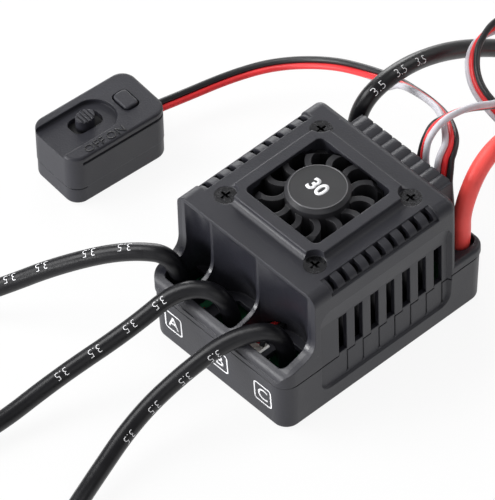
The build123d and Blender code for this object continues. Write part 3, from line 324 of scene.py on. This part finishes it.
# --- Mesh helpers -------------------------------------------------------------------------
def new_piece(name, shape, material, body=ROOT, smooth=True):
    """Makes a piece of a bmesh, riding on a body; smooth None leaves the faces' shading alone."""
    bmesh.ops.recalc_face_normals(shape, faces=shape.faces)
    if smooth is not None:
        for face in shape.faces:
            face.smooth = smooth
    mesh = bpy.data.meshes.new(name)
    shape.to_mesh(mesh)
    shape.free()
    mesh.materials.append(material)
    piece = new_object(name, mesh)
    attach(piece, body)
    return piece


def circle(steps):
    """The cosine and sine of each even step round a circle."""
    angles = [2 * math.pi * k / steps for k in range(steps)]
    return [(math.cos(angle), math.sin(angle)) for angle in angles]


def bridge(shape, loops):
    """Adds the faces between each loop of points and the next, and returns them."""
    faces = []
    for first, second in zip(loops, loops[1:]):
        for k in range(len(first)):
            after = (k + 1) % len(first)
            faces.append(shape.faces.new((first[k], first[after], second[after], second[k])))
    return faces


def square_to(direction, ahead):
    """The unit part of a direction that is square to the way ahead."""
    return (direction - ahead * direction.dot(ahead)).normalized()


# --- Cords --------------------------------------------------------------------------------
WIRE_DIAMETER = 3.5 * MM
CURVE_STEPS = 16
SWITCH_ORIGIN = (-56.5, -3.75)
SWITCH_TURN = math.radians(-4.1)


def switch_point(x, y, z):
    """A point of the switch box in millimetres, given across it, along it and up."""
    across, along = math.cos(SWITCH_TURN), math.sin(SWITCH_TURN)
    return (
        SWITCH_ORIGIN[0] + x * across - y * along,
        SWITCH_ORIGIN[1] + x * along + y * across,
        z,
    )


MOTOR_ROUTES = {
    "a": [
        (-14.2, -20.9, 7.6),
        (-14.2, -20.9, 19.8),
        (-23.0, -26.8, 19.0),
        (-33.0, -34.8, 13.0),
        (-41.0, -43.0, 6.5),
        (-47.5, -51.5, 2.9),
        (-53.0, -59.5, 2.52),
        (-58.0, -68.0, 2.52),
    ],
    "b": [
        (-1.2, -20.2, 7.6),
        (-1.2, -20.2, 18.5),
        (-9.6, -24.8, 18.5),
        (-12.4, -35.6, 12.4),
        (-16.6, -50.4, 6.8),
        (-18.2, -64.3, 3.0),
        (-20.5, -77.5, 2.52),
        (-24.0, -87.0, 2.52),
    ],
    "c": [
        (11.9, -18.6, 7.6),
        (11.9, -18.6, 18.3),
        (5.3, -24.8, 17.0),
        (1.9, -34.4, 12.0),
        (0.7, -46.2, 7.0),
        (4.1, -60.2, 3.2),
        (8.6, -72.5, 2.52),
        (12.0, -83.0, 2.52),
    ],
}
NEGATIVE_ROUTE = [
    (-14.7, 21.7, 7.6),
    (-14.7, 21.7, 10.2),
    (-14.7, 22.9, 14.6),
    (-13.7, 23.4, 28.0),
    (-14.2, 34.2, 29.6),
    (-15.9, 47.5, 23.6),
    (-15.9, 60.2, 15.4),
    (-14.2, 70.0, 8.0),
    (-11.2, 77.5, 4.0),
    (-11.2, 83.5, 4.0),
]
POSITIVE_ROUTE = [
    (14.7, 21.7, 7.6),
    (14.7, 21.7, 10.2),
    (14.7, 22.9, 14.6),
    (14.8, 22.7, 22.5),
    (14.6, 28.5, 32.0),
    (14.4, 38.9, 33.0),
    (12.5, 49.0, 26.0),
    (7.5, 58.5, 17.0),
    (0.8, 66.5, 9.5),
    (-2.9, 73.0, 5.2),
    (-3.8, 78.0, 4.0),
    (-3.8, 83.5, 4.0),
]
RECEIVER_ROUTE = [
    (3.2, 21.9, 7.6),
    (3.2, 21.9, 10.0),
    (3.2, 23.9, 14.6),
    (3.2, 23.9, 33.2),
    (4.2, 33.0, 33.9),
    (4.8, 43.0, 27.9),
    (6.0, 54.0, 27.5),
    (0.0, 63.5, 27.5),
    (-11.0, 62.0, 26.6),
    (-13.0, 52.5, 25.4),
    (-6.5, 45.6, 23.6),
    (2.0, 44.6, 21.4),
    (11.0, 47.5, 16.0),
    (18.0, 53.0, 9.0),
    (24.0, 59.5, 3.6),
    (28.0, 66.5, 1.4),
    (30.5, 73.5, 1.4),
]
SWITCH_ROUTE = [
    (10.2, 21.9, 7.6),
    (10.2, 21.9, 10.0),
    (10.2, 23.9, 14.6),
    (8.3, 23.8, 28.2),
    (7.1, 27.8, 30.7),
    (0.0, 32.8, 29.0),
    (-8.3, 35.4, 25.6),
    (-16.9, 37.2, 21.5),
    (-26.0, 38.0, 17.0),
    (-36.0, 37.0, 12.9),
    (-45.3, 32.0, 9.3),
    (-50.6, 25.0, 7.0),
    switch_point(0.9, 18.5, 5.6),
    switch_point(0.0, 10.05, 6.4),
]


def new_curve(name, route, diameter, sides=16):
    """A smooth round cord whose spline has the route's points as its control points."""
    data = bpy.data.curves.new(name, "CURVE")
    data.dimensions = "3D"
    data.resolution_u = CURVE_STEPS
    spline = data.splines.new("NURBS")
    spline.points.add(len(route) - 1)
    for point, place in zip(spline.points, route):
        point.co = (*[c * MM for c in place], 1)
    spline.order_u = 3
    spline.use_endpoint_u = True
    data.bevel_depth = diameter / 2
    data.bevel_resolution = sides // 4
    data.use_fill_caps = True
    return new_object(name, data)


def centre_line(route):
    """Points along the smooth line of a route, in metres."""
    curve = new_curve("line", route, 0)
    mesh = bpy.data.meshes.new_from_object(curve)
    line = [vertex.co.copy() for vertex in mesh.vertices]
    bpy.data.objects.remove(curve)
    bpy.data.meshes.remove(mesh)
    return line


def ways_along(line):
    """How far along the line each of its points is."""
    ways = [0.0]
    for before, here in zip(line, line[1:]):
        ways.append(ways[-1] + (here - before).length)
    return ways


def line_length(line):
    """The length of a line of points."""
    return ways_along(line)[-1]


def paint(piece, material):
    """Puts one material on a piece or on a CAD node."""
    piece.data.materials.clear()
    piece.data.materials.append(material)


LETTER_STEPS = 4
LETTER_WELD = 1e-5


def text_mesh(name, body, height, weight):
    """Flat sans letters round the origin, as high as asked."""
    data = bpy.data.curves.new(name, "FONT")
    data.body = body
    data.align_x = "CENTER"
    data.offset = weight
    data.resolution_u = LETTER_STEPS
    letters = new_object(name, data)
    mesh = bpy.data.meshes.new_from_object(letters)
    bpy.data.objects.remove(letters)
    rows = [vertex.co.y for vertex in mesh.vertices]
    size = height / (max(rows) - min(rows))
    middle = (max(rows) + min(rows)) / 2
    solid = bmesh.new()
    solid.from_mesh(mesh)
    bpy.data.meshes.remove(mesh)
    bmesh.ops.remove_doubles(solid, verts=solid.verts, dist=LETTER_WELD)
    for vertex in solid.verts:
        vertex.co = Vector((vertex.co.x * size, (vertex.co.y - middle) * size, 0))
    return solid


def finish_letters(name, solid, thickness, place, material, body):
    """Thickens flat letters, carries each point to its place and makes the piece."""
    bmesh.ops.triangulate(solid, faces=solid.faces)
    raised = bmesh.ops.extrude_face_region(solid, geom=list(solid.faces))
    for item in raised["geom"]:
        if isinstance(item, bmesh.types.BMVert):
            item.co.z = thickness
    for vertex in solid.verts:
        vertex.co = place(vertex.co)
    return new_piece(name, solid, material, body, smooth=None)


def letters_on(name, body_text, height, origin, across, upward, material, body, thickness, weight):
    """Flat letters on a plane: across and upward are the reading and the upright direction."""
    solid = text_mesh(name, body_text, height, weight)
    outward = across.cross(upward)

    def place(point):
        return origin + across * point.x + upward * point.y + outward * point.z

    return finish_letters(name, solid, thickness, place, material, body)


PRINT_TEXT = "3.5"  # the wire's diameter in millimetres
PRINT_HEIGHT = 1.6 * MM
PRINT_THICKNESS = 0.02 * MM
PRINT_WEIGHT = -0.02


def wire_print(name, route, start, turn):
    """White figures that run along a wire and wrap round the side that faces the camera."""
    line = centre_line(route)
    solid = text_mesh(name, PRINT_TEXT, PRINT_HEIGHT, PRINT_WEIGHT)
    bmesh.ops.triangulate(solid, faces=solid.faces)
    bmesh.ops.subdivide_edges(solid, edges=solid.edges, cuts=2, use_grid_fill=True)
    ways = ways_along(line)
    camera_place = bpy.context.scene.camera.matrix_world.translation

    def place(point):
        way = start + point.x
        number = max(i for i, gone in enumerate(ways[:-1]) if gone <= way)
        run = line[number + 1] - line[number]
        ahead = run.normalized()
        middle = line[number] + ahead * (way - ways[number])
        outward = square_to(camera_place - middle, ahead)
        upright = outward.cross(ahead)
        angle = point.y / (WIRE_DIAMETER / 2) + turn
        radius = WIRE_DIAMETER / 2 + point.z
        return middle + (outward * math.cos(angle) + upright * math.sin(angle)) * radius

    return finish_letters(name, solid, PRINT_THICKNESS, place, WHITE_INK, ROOT)


def round_cord(name, route, node, material, print_key=None):
    """A motor or battery wire that stands for its CAD tube, with its printed figures."""
    wire = new_curve(name, route, WIRE_DIAMETER)
    paint(wire, material)
    figures = [
        wire_print(
            f"{name}_figures_{number}", route, start * MM, math.radians(PRINT_TURNS[print_key])
        )
        for number, start in enumerate(PRINT_PLACES.get(print_key, ()))
    ]
    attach(wire, ROOT)
    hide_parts(node)
    line_length(centre_line(route))


PRINT_PLACES = {  # along each wire from its solder joint, in millimetres
    "a": (19.5, 26.5, 36.5, 43.5),
    "b": (22.5, 29.5, 37.5, 45),
    "c": (22.5, 29.5, 37.5, 45),
    "minus": (23.5, 29, 34.5),
}
PRINT_TURNS = {"a": -34, "b": -8, "c": 34, "minus": -6}  # round the wire, in degrees

for phase, route in MOTOR_ROUTES.items():
    round_cord(
        f"phase_wire_{phase}",
        route,
        f"motor_wire_{phase}",
        WIRE_BLACK,
        phase,
    )
round_cord(
    "minus_wire",
    NEGATIVE_ROUTE,
    "battery_wire_negative",
    WIRE_BLACK,
    "minus",
)
round_cord(
    "plus_wire",
    POSITIVE_ROUTE,
    "battery_wire_positive",
    WIRE_RED,
)


CORE_RADIUS = 0.64 * MM
CORE_PITCH = 1.22 * MM
CORE_SIDES = 10
CORE_MATERIALS = (LEAD_WHITE, LEAD_RED, LEAD_BLACK)


def lay_rows(line, twist):
    """Rows of share, direction from the white core to the black one, spread and fold.

    A twist's turn is in degrees round the line, from straight across the camera's view
    towards the camera, or it is a direction.
    """
    camera_place = bpy.context.scene.camera.matrix_world.translation
    ways = ways_along(line)
    rows = []
    for share, turn, spread, fold in twist:
        number = min(range(len(line)), key=lambda n: abs(ways[n] - share * ways[-1]))
        ahead = way_ahead(line, number)
        if isinstance(turn, tuple):
            across = square_to(Vector(turn), ahead)
        else:
            facing = square_to(camera_place - line[number], ahead)
            angle = math.radians(turn)
            across = facing.cross(ahead) * math.cos(angle) + facing * math.sin(angle)
        rows.append((share, across, spread, fold))
    return rows


def way_ahead(line, number):
    """The unit direction of a line at one of its points."""
    before = line[max(number - 1, 0)]
    after = line[min(number + 1, len(line) - 1)]
    return (after - before).normalized()


def lay_of(rows, share):
    """Direction across the ribbon, spread of its cores and fold of its white core at a share."""
    for first, second in zip(rows, rows[1:]):
        if first[0] <= share <= second[0]:
            step = (share - first[0]) / (second[0] - first[0])
            across = first[1].lerp(second[1], step)
            spread = first[2] + (second[2] - first[2]) * step
            fold = first[3] + (second[3] - first[3]) * step
            return across, spread, math.radians(fold)
    return rows[-1][1], rows[-1][2], math.radians(rows[-1][3])


def ribbon(name, route, node, twist):
    """A flat lead of white, red and black cores that turns over along its length."""
    line = centre_line(route)
    ways = ways_along(line)
    total = line_length(line)
    rows = lay_rows(line, twist)
    shape = bmesh.new()
    cores = [[], [], []]
    for number, place in enumerate(line):
        ahead = way_ahead(line, number)
        across, spread, fold = lay_of(rows, min(ways[number] / total, 1.0))
        across = square_to(across, ahead)
        upward = ahead.cross(across)
        pitch = CORE_PITCH * spread
        red = place - across * 0.5 * pitch * math.sin(fold)
        white = red - across * pitch * math.cos(fold) + upward * pitch * math.sin(fold)
        black = red + across * pitch
        for rings, middle in zip(cores, (white, red, black)):
            rings.append(
                [
                    shape.verts.new(middle + (across * x + upward * y) * CORE_RADIUS)
                    for x, y in circle(CORE_SIDES)
                ]
            )
    for core_number, rings in enumerate(cores):
        walls = bridge(shape, rings)
        for face in walls:
            face.smooth = True
        ends = [shape.faces.new(list(reversed(rings[0]))), shape.faces.new(rings[-1])]
        for face in walls + ends:
            face.material_index = core_number
    bmesh.ops.recalc_face_normals(shape, faces=shape.faces)
    mesh = bpy.data.meshes.new(name)
    shape.to_mesh(mesh)
    shape.free()
    for material in CORE_MATERIALS:
        mesh.materials.append(material)
    lead = new_object(name, mesh)
    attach(lead, ROOT)
    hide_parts(node)


# share of the length, turn, spread of the cores, fold of the white core in degrees
RECEIVER_TWIST = [
    (0.000, (-1, 0, 0), 0.85, 0),
    (0.060, (-1, 0, 0), 0.85, 0),
    (0.103, (-1, 0, 0), 1, 0),
    (0.132, -66, 1, 0),
    (0.159, -72, 1, 0),
    (0.193, -82, 1, 0),
    (0.225, -92, 1, 0),
    (0.261, -99, 1, 0),
    (0.299, -102, 1, 0),
    (0.335, -118, 1, 0),
    (0.371, -135, 1, 0),
    (0.407, -152, 1, 0),
    (0.440, -170, 1, 0),
    (0.474, -182, 1, 0),
    (0.505, -200, 1, 0),
    (0.531, -230, 1, 0),
    (0.547, -260, 1, 0),
    (0.561, -285, 1, 0),
    (0.591, -312, 1, 0),
    (0.622, -315, 1, 0),
    (0.651, -315, 1, 0),
    (0.681, -320, 1, 0),
    (0.715, -330, 1, 0),
    (0.789, -350, 1, 0),
    (0.861, -370, 1, 0),
    (0.923, -390, 1, 0),
    (1.000, (-0.94, 0.34, 0), 1, 0),
]
SWITCH_TWIST = [
    (0.000, (1, 0, 0), 0.85, 0),
    (0.060, (1, 0, 0), 0.85, 0),
    (0.100, (1, 0, 0), 1, 0),
    (0.153, (1, 0.2, 0), 1, 0),
    (0.187, 193, 1, 0),
    (0.213, 207, 0.9, 0),
    (0.237, 218, 1, 0),
    (0.274, 235, 1, 0),
    (0.312, 256, 1, 0),
    (0.352, 262, 1, 0),
    (0.394, 261, 1, 0),
    (0.436, 258, 1, 0),
    (0.457, 250, 1, 10),
    (0.479, 235, 1, 40),
    (0.523, 200, 1, 80),
    (0.569, 182, 1, 90),
    (0.616, 180, 1, 90),
    (0.663, 178, 1, 90),
    (0.712, 178, 1, 90),
    (0.751, 178, 1, 90),
    (0.792, 178, 1, 90),
    (0.834, 178, 1, 90),
    (0.881, 178, 1, 90),
    (0.931, 178, 1, 90),
    (1.000, 178, 1, 90),
]
ribbon(
    "receiver_ribbon",
    RECEIVER_ROUTE,
    "receiver_lead",
    RECEIVER_TWIST,
)
ribbon(
    "switch_ribbon",
    SWITCH_ROUTE,
    "switch_lead",
    SWITCH_TWIST,
)


# --- Materials of the CAD nodes -------------------------------------------------------------
NODE_MATERIALS = {
    "case_black": CASE_BLACK,
    "fan_black": FAN_BLACK,
    "label_black": LABEL_GREY,
    "screw_steel": SCREW_BLACK,
    "sink_aluminium": SINK_BLACK,
    "board_green": BOARD_GREEN,
    "chip_black": CHIP_BLACK,
    "capacitor_sleeve": SLEEVE_BLUE,
    "led_red": LENS_RED,
    "copper": COPPER,
    "tinned_steel": STEEL,
    "bronze": BRONZE,
    "magnet": MAGNET,
    "silicone_black": WIRE_BLACK,
    "silicone_red": WIRE_RED,
    "silicone_white": LEAD_WHITE,
    "gold": GOLD,
    "shrink_black": LEAD_BLACK,
    "plug_red": PLUG_RED,
    "plug_black": PLUG_BLACK,
    "white_ink": WHITE_INK,
}
for part in frame["record"]["subparts"]:
    paint(nodes[part["node"]], NODE_MATERIALS[part["material_slot"]])
paint(nodes["slide_switch_body"], CHIP_BLACK)  # its top is black round the knob
paint(nodes["upper_case"], COVER_BLACK)


# --- Print and small pieces -----------------------------------------------------------------
X_AXIS = Vector((1, 0, 0))
Y_AXIS = Vector((0, 1, 0))
FAN_MIDDLE = Vector((0, 0.45, 0)) * MM
HUB_TOP = 33.3 * MM
LABEL_TOP = 33.45 * MM
CASE_HALF_LENGTH = 25.7 * MM
SPLIT_HEIGHT = 11.8 * MM
CASE_DRAFT = 0.5 * MM
PHASE_PLACES = {"A": -12.0 * MM, "B": 0.5 * MM, "C": 12.3 * MM}
PHASE_HEIGHT = 6.45 * MM
PHASE_BOX = (4.7 * MM, 5.1 * MM)
PHASE_CORNER = 0.8 * MM
PHASE_STROKE = 0.32 * MM
PHASE_LETTER_HEIGHT = 2.9 * MM
PHASE_LETTER_WEIGHT = 0.008
INK = 0.03 * MM


def turned(shape, middle, profile, steps=96):
    """Adds a closed profile of (radius, height) turned round an upright axis."""
    rings = [
        [shape.verts.new(middle + Vector((x * radius, y * radius, height))) for x, y in circle(steps)]
        for radius, height in profile
    ]
    bridge(shape, rings + rings[:1])


def rounded_loop(width, height, corner, steps=6):
    """Corners of a rounded rectangle round the origin, anticlockwise."""
    points = []
    for quarter, (side, end) in enumerate(((1, 1), (-1, 1), (-1, -1), (1, -1))):
        for k in range(steps + 1):
            angle = math.pi / 2 * (quarter + k / steps)
            points.append(
                (
                    side * (width / 2 - corner) + corner * math.cos(angle),
                    end * (height / 2 - corner) + corner * math.sin(angle),
                )
            )
    return points


def outline(name, origin, across, upward, size, corner, stroke, thickness, material):
    """A thin printed frame with rounded corners on a plane."""
    outward = across.cross(upward)
    outer = rounded_loop(size[0], size[1], corner)
    inner = rounded_loop(size[0] - 2 * stroke, size[1] - 2 * stroke, corner - stroke)
    shape = bmesh.new()
    rows = [
        [shape.verts.new(origin + across * x + upward * y + outward * rise) for x, y in loop]
        for loop, rise in ((outer, 0), (outer, thickness), (inner, thickness), (inner, 0))
    ]
    bridge(shape, rows + rows[:1])
    return new_piece(name, shape, material, smooth=False)


# raised rim round the hub's label, its lighter grey a painted highlight, and the fan's size on it
HUB_RIM = ((5.31, 0.0), (5.33, 0.2), (5.42, 0.26), (5.54, 0.2), (5.58, 0.0))
FAN_FIGURES = "30"
FAN_FIGURES_HEIGHT = 3.2 * MM
FAN_FIGURES_WEIGHT = 0.035
hub_rim = bmesh.new()
turned(
    hub_rim,
    FAN_MIDDLE + Vector((0, 0, HUB_TOP)),
    [(radius * MM, height * MM) for radius, height in HUB_RIM],
)
new_piece("hub_rim", hub_rim, RIM_PAINTED_HIGHLIGHT, "fan_rotor")
letters_on(
    "fan_size_figures",
    FAN_FIGURES,
    FAN_FIGURES_HEIGHT,
    FAN_MIDDLE + Vector((0, 0, LABEL_TOP)),
    X_AXIS,
    Y_AXIS,
    WHITE_INK,
    "fan_rotor",
    INK,
    FAN_FIGURES_WEIGHT,
)

# phase letters in their frames on the sloping front
front_up = Vector((0, -CASE_DRAFT, SPLIT_HEIGHT)).normalized()
front_y = -CASE_HALF_LENGTH + CASE_DRAFT * (1 - PHASE_HEIGHT / SPLIT_HEIGHT)
for letter, place_x in PHASE_PLACES.items():
    spot = Vector((place_x, front_y, PHASE_HEIGHT))
    letters_on(
        f"phase_letter_{letter}",
        letter,
        PHASE_LETTER_HEIGHT,
        spot,
        X_AXIS,
        front_up,
        WHITE_INK,
        ROOT,
        INK,
        PHASE_LETTER_WEIGHT,
    )
    outline(
        f"phase_frame_{letter}",
        spot,
        X_AXIS,
        front_up,
        PHASE_BOX,
        PHASE_CORNER,
        PHASE_STROKE,
        INK,
        WHITE_INK,
    )

# OFF and ON in relief on the lid of the switch box, read from its button side, in the chip black that
# is darker than the case black: painted shade standing for engraved strokes
SWITCH_X = Vector((math.cos(SWITCH_TURN), math.sin(SWITCH_TURN), 0))
SWITCH_Y = Vector((-math.sin(SWITCH_TURN), math.cos(SWITCH_TURN), 0))
SWITCH_WORDS = {"OFF": -5.2, "ON": -0.2}  # along the box, in millimetres
SWITCH_WORD_ACROSS = 5.45
SWITCH_LID_TOP = 12.4
SWITCH_WORD_HEIGHT = 1.8 * MM
SWITCH_WORD_RELIEF = 0.12 * MM
SWITCH_WORD_WEIGHT = -0.015
for word, along in SWITCH_WORDS.items():
    letters_on(
        f"switch_word_{word}",
        word,
        SWITCH_WORD_HEIGHT,
        Vector(switch_point(SWITCH_WORD_ACROSS, along, SWITCH_LID_TOP)) * MM,
        SWITCH_Y,
        -SWITCH_X,
        CHIP_BLACK,
        ROOT,
        SWITCH_WORD_RELIEF,
        SWITCH_WORD_WEIGHT,
    )

# a socket for the fan's plug under the small opening of the tray
SOCKET_MIDDLE = (6.05, -20.9)
SOCKET_HALF = (1.7, 1.75)
SOCKET_HEIGHTS = (7.65, 11.2)
SOCKET_CORNER = 0.3
SOCKET_WALL = 0.45
SOCKET_DEPTH = 1.6 * MM
socket = bmesh.new()
rows = []
for height, shrink in zip((*SOCKET_HEIGHTS, SOCKET_HEIGHTS[1]), (0.0, 0.0, SOCKET_WALL)):
    across, along = (2 * (half - shrink) for half in SOCKET_HALF)
    rows.append(
        [
            socket.verts.new(Vector((SOCKET_MIDDLE[0] + x, SOCKET_MIDDLE[1] + y, height)) * MM)
            for x, y in rounded_loop(across, along, SOCKET_CORNER, 3)
        ]
    )
rows.append([socket.verts.new(vertex.co - Vector((0, 0, SOCKET_DEPTH))) for vertex in rows[-1]])
bridge(socket, rows)
socket.faces.new(rows[-1])
socket.faces.new(list(reversed(rows[0])))
new_piece("fan_socket", socket, PLUG_WHITE, smooth=False)


# the fan's lead, from its opening in the tower down into the socket
FAN_LEAD_DIAMETER = 1.0 * MM
FAN_LEAD_PITCH = 1.15
FAN_LEAD_ROUTE = (
    (5.3, -20.2, 11.0),
    (5.1, -19.2, 12.4),
    (4.8, -17.4, 12.6),
    (4.8, -15.4, 12.1),
    (4.9, -13.2, 12.0),
)
for place, core, material in ((0, "red", LEAD_RED), (1, "black", LEAD_BLACK)):
    route = [(x + FAN_LEAD_PITCH * place, y, z) for x, y, z in FAN_LEAD_ROUTE]
    fan_lead = new_curve(f"fan_lead_{core}", route, FAN_LEAD_DIAMETER)
    paint(fan_lead, material)
    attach(fan_lead, ROOT)

# beads at the feet of the side panels' grooves
PANEL_FACE = 17.75 * MM
BEAD_HEIGHT = 5.0 * MM
BEAD_PLACES = [2.725 + 4.0 * number for number in range(-3, 4)]
BEAD_PROFILE = ((0.0, 0.34), (0.1, 0.3), (0.17, 0.16))  # height on the panel, radius
BEAD_SIDES = 12
beads = bmesh.new()
for side in (-1, 1):
    for along in BEAD_PLACES:
        rings = [
            [
                beads.verts.new(
                    (
                        side * (PANEL_FACE + rise * MM),
                        (along + x * radius) * MM,
                        BEAD_HEIGHT + y * radius * MM,
                    )
                )
                for x, y in circle(BEAD_SIDES)
            ]
            for rise, radius in BEAD_PROFILE
        ]
        bridge(beads, rings)
        beads.faces.new(rings[-1])
new_piece("panel_beads", beads, CASE_BLACK)


# --- Floor, light and background --------------------------------------------------------------
FLOOR_SIZE = 3.0
FLOOR_DROP = 0.00005
FLOOR_WHITE = 0.88
FLOOR_ROUGHNESS = 0.9
FLOOR_SPECULAR = 0.1
BACKGROUND_SHARE = 0.9
AMBIENT = 0.32
LIGHT_AIM = Vector((0, 0, 0.02))


def seen_white(tree, lit_shader):
    """Mixes a shader with plain white for camera, glossy and transmission rays."""
    path = tree.nodes.new("ShaderNodeLightPath")
    either = math_node(
        tree, "MAXIMUM", path.outputs["Is Camera Ray"], path.outputs["Is Glossy Ray"]
    )
    any_ray = math_node(tree, "MAXIMUM", either, path.outputs["Is Transmission Ray"])
    share = math_node(tree, "MULTIPLY", any_ray, BACKGROUND_SHARE)
    white = tree.nodes.new("ShaderNodeEmission")
    white.inputs["Color"].default_value = (1, 1, 1, 1)
    mix = tree.nodes.new("ShaderNodeMixShader")
    tree.links.new(share, mix.inputs["Fac"])
    tree.links.new(lit_shader.outputs[0], mix.inputs[1])
    tree.links.new(white.outputs[0], mix.inputs[2])
    return mix


def make_floor():
    """A white floor just under the part, for the stage only."""
    mesh = bpy.data.meshes.new("floor")
    half = FLOOR_SIZE / 2
    mesh.from_pydata(
        [(-half, -half, 0), (half, -half, 0), (half, half, 0), (-half, half, 0)],
        [],
        [(0, 1, 2, 3)],
    )
    floor = new_object("floor", mesh)
    floor.location.z = -FLOOR_DROP
    material, tree, shader = new_material("floor_white", grey(FLOOR_WHITE), FLOOR_ROUGHNESS)
    shader.inputs["Specular IOR Level"].default_value = FLOOR_SPECULAR
    mix = seen_white(tree, shader)
    tree.links.new(mix.outputs[0], tree.nodes["Material Output"].inputs["Surface"])
    mesh.materials.append(material)


def make_world():
    """A dim white world that the camera sees as plain white."""
    world = bpy.data.worlds.new("studio")
    bpy.context.scene.world = world
    world.use_nodes = True
    tree = world.node_tree
    path = tree.nodes.new("ShaderNodeLightPath")
    ambient = tree.nodes["Background"]
    ambient.inputs["Color"].default_value = (1, 1, 1, 1)
    ambient.inputs["Strength"].default_value = AMBIENT
    white = tree.nodes.new("ShaderNodeBackground")
    white.inputs["Color"].default_value = (1, 1, 1, 1)
    mix = tree.nodes.new("ShaderNodeMixShader")
    tree.links.new(path.outputs["Is Camera Ray"], mix.inputs["Fac"])
    tree.links.new(ambient.outputs[0], mix.inputs[1])
    tree.links.new(white.outputs[0], mix.inputs[2])
    tree.links.new(mix.outputs[0], tree.nodes["World Output"].inputs["Surface"])


def area_light(name, place, power, size):
    """A square soft box that looks at the middle of the case."""
    data = bpy.data.lights.new(name, "AREA")
    data.energy = power
    data.size = size
    lamp = new_object(name, data)
    lamp.location = place
    lamp.rotation_euler = (LIGHT_AIM - Vector(place)).to_track_quat("-Z", "Y").to_euler()


make_floor()
make_world()
area_light("key", (-0.55, -0.35, 0.75), 7, 0.6)
area_light("fill", (0.8, -0.6, 0.6), 1.3, 0.8)
area_light("back", (0.1, 0.9, 0.7), 3.2, 0.7)
area_light("front", (-0.35, -0.8, 0.06), 13, 0.5)
area_light("rim", (-0.75, 0.6, 0.25), 5, 0.5)

bpy.context.scene.view_settings.view_transform = "Standard"
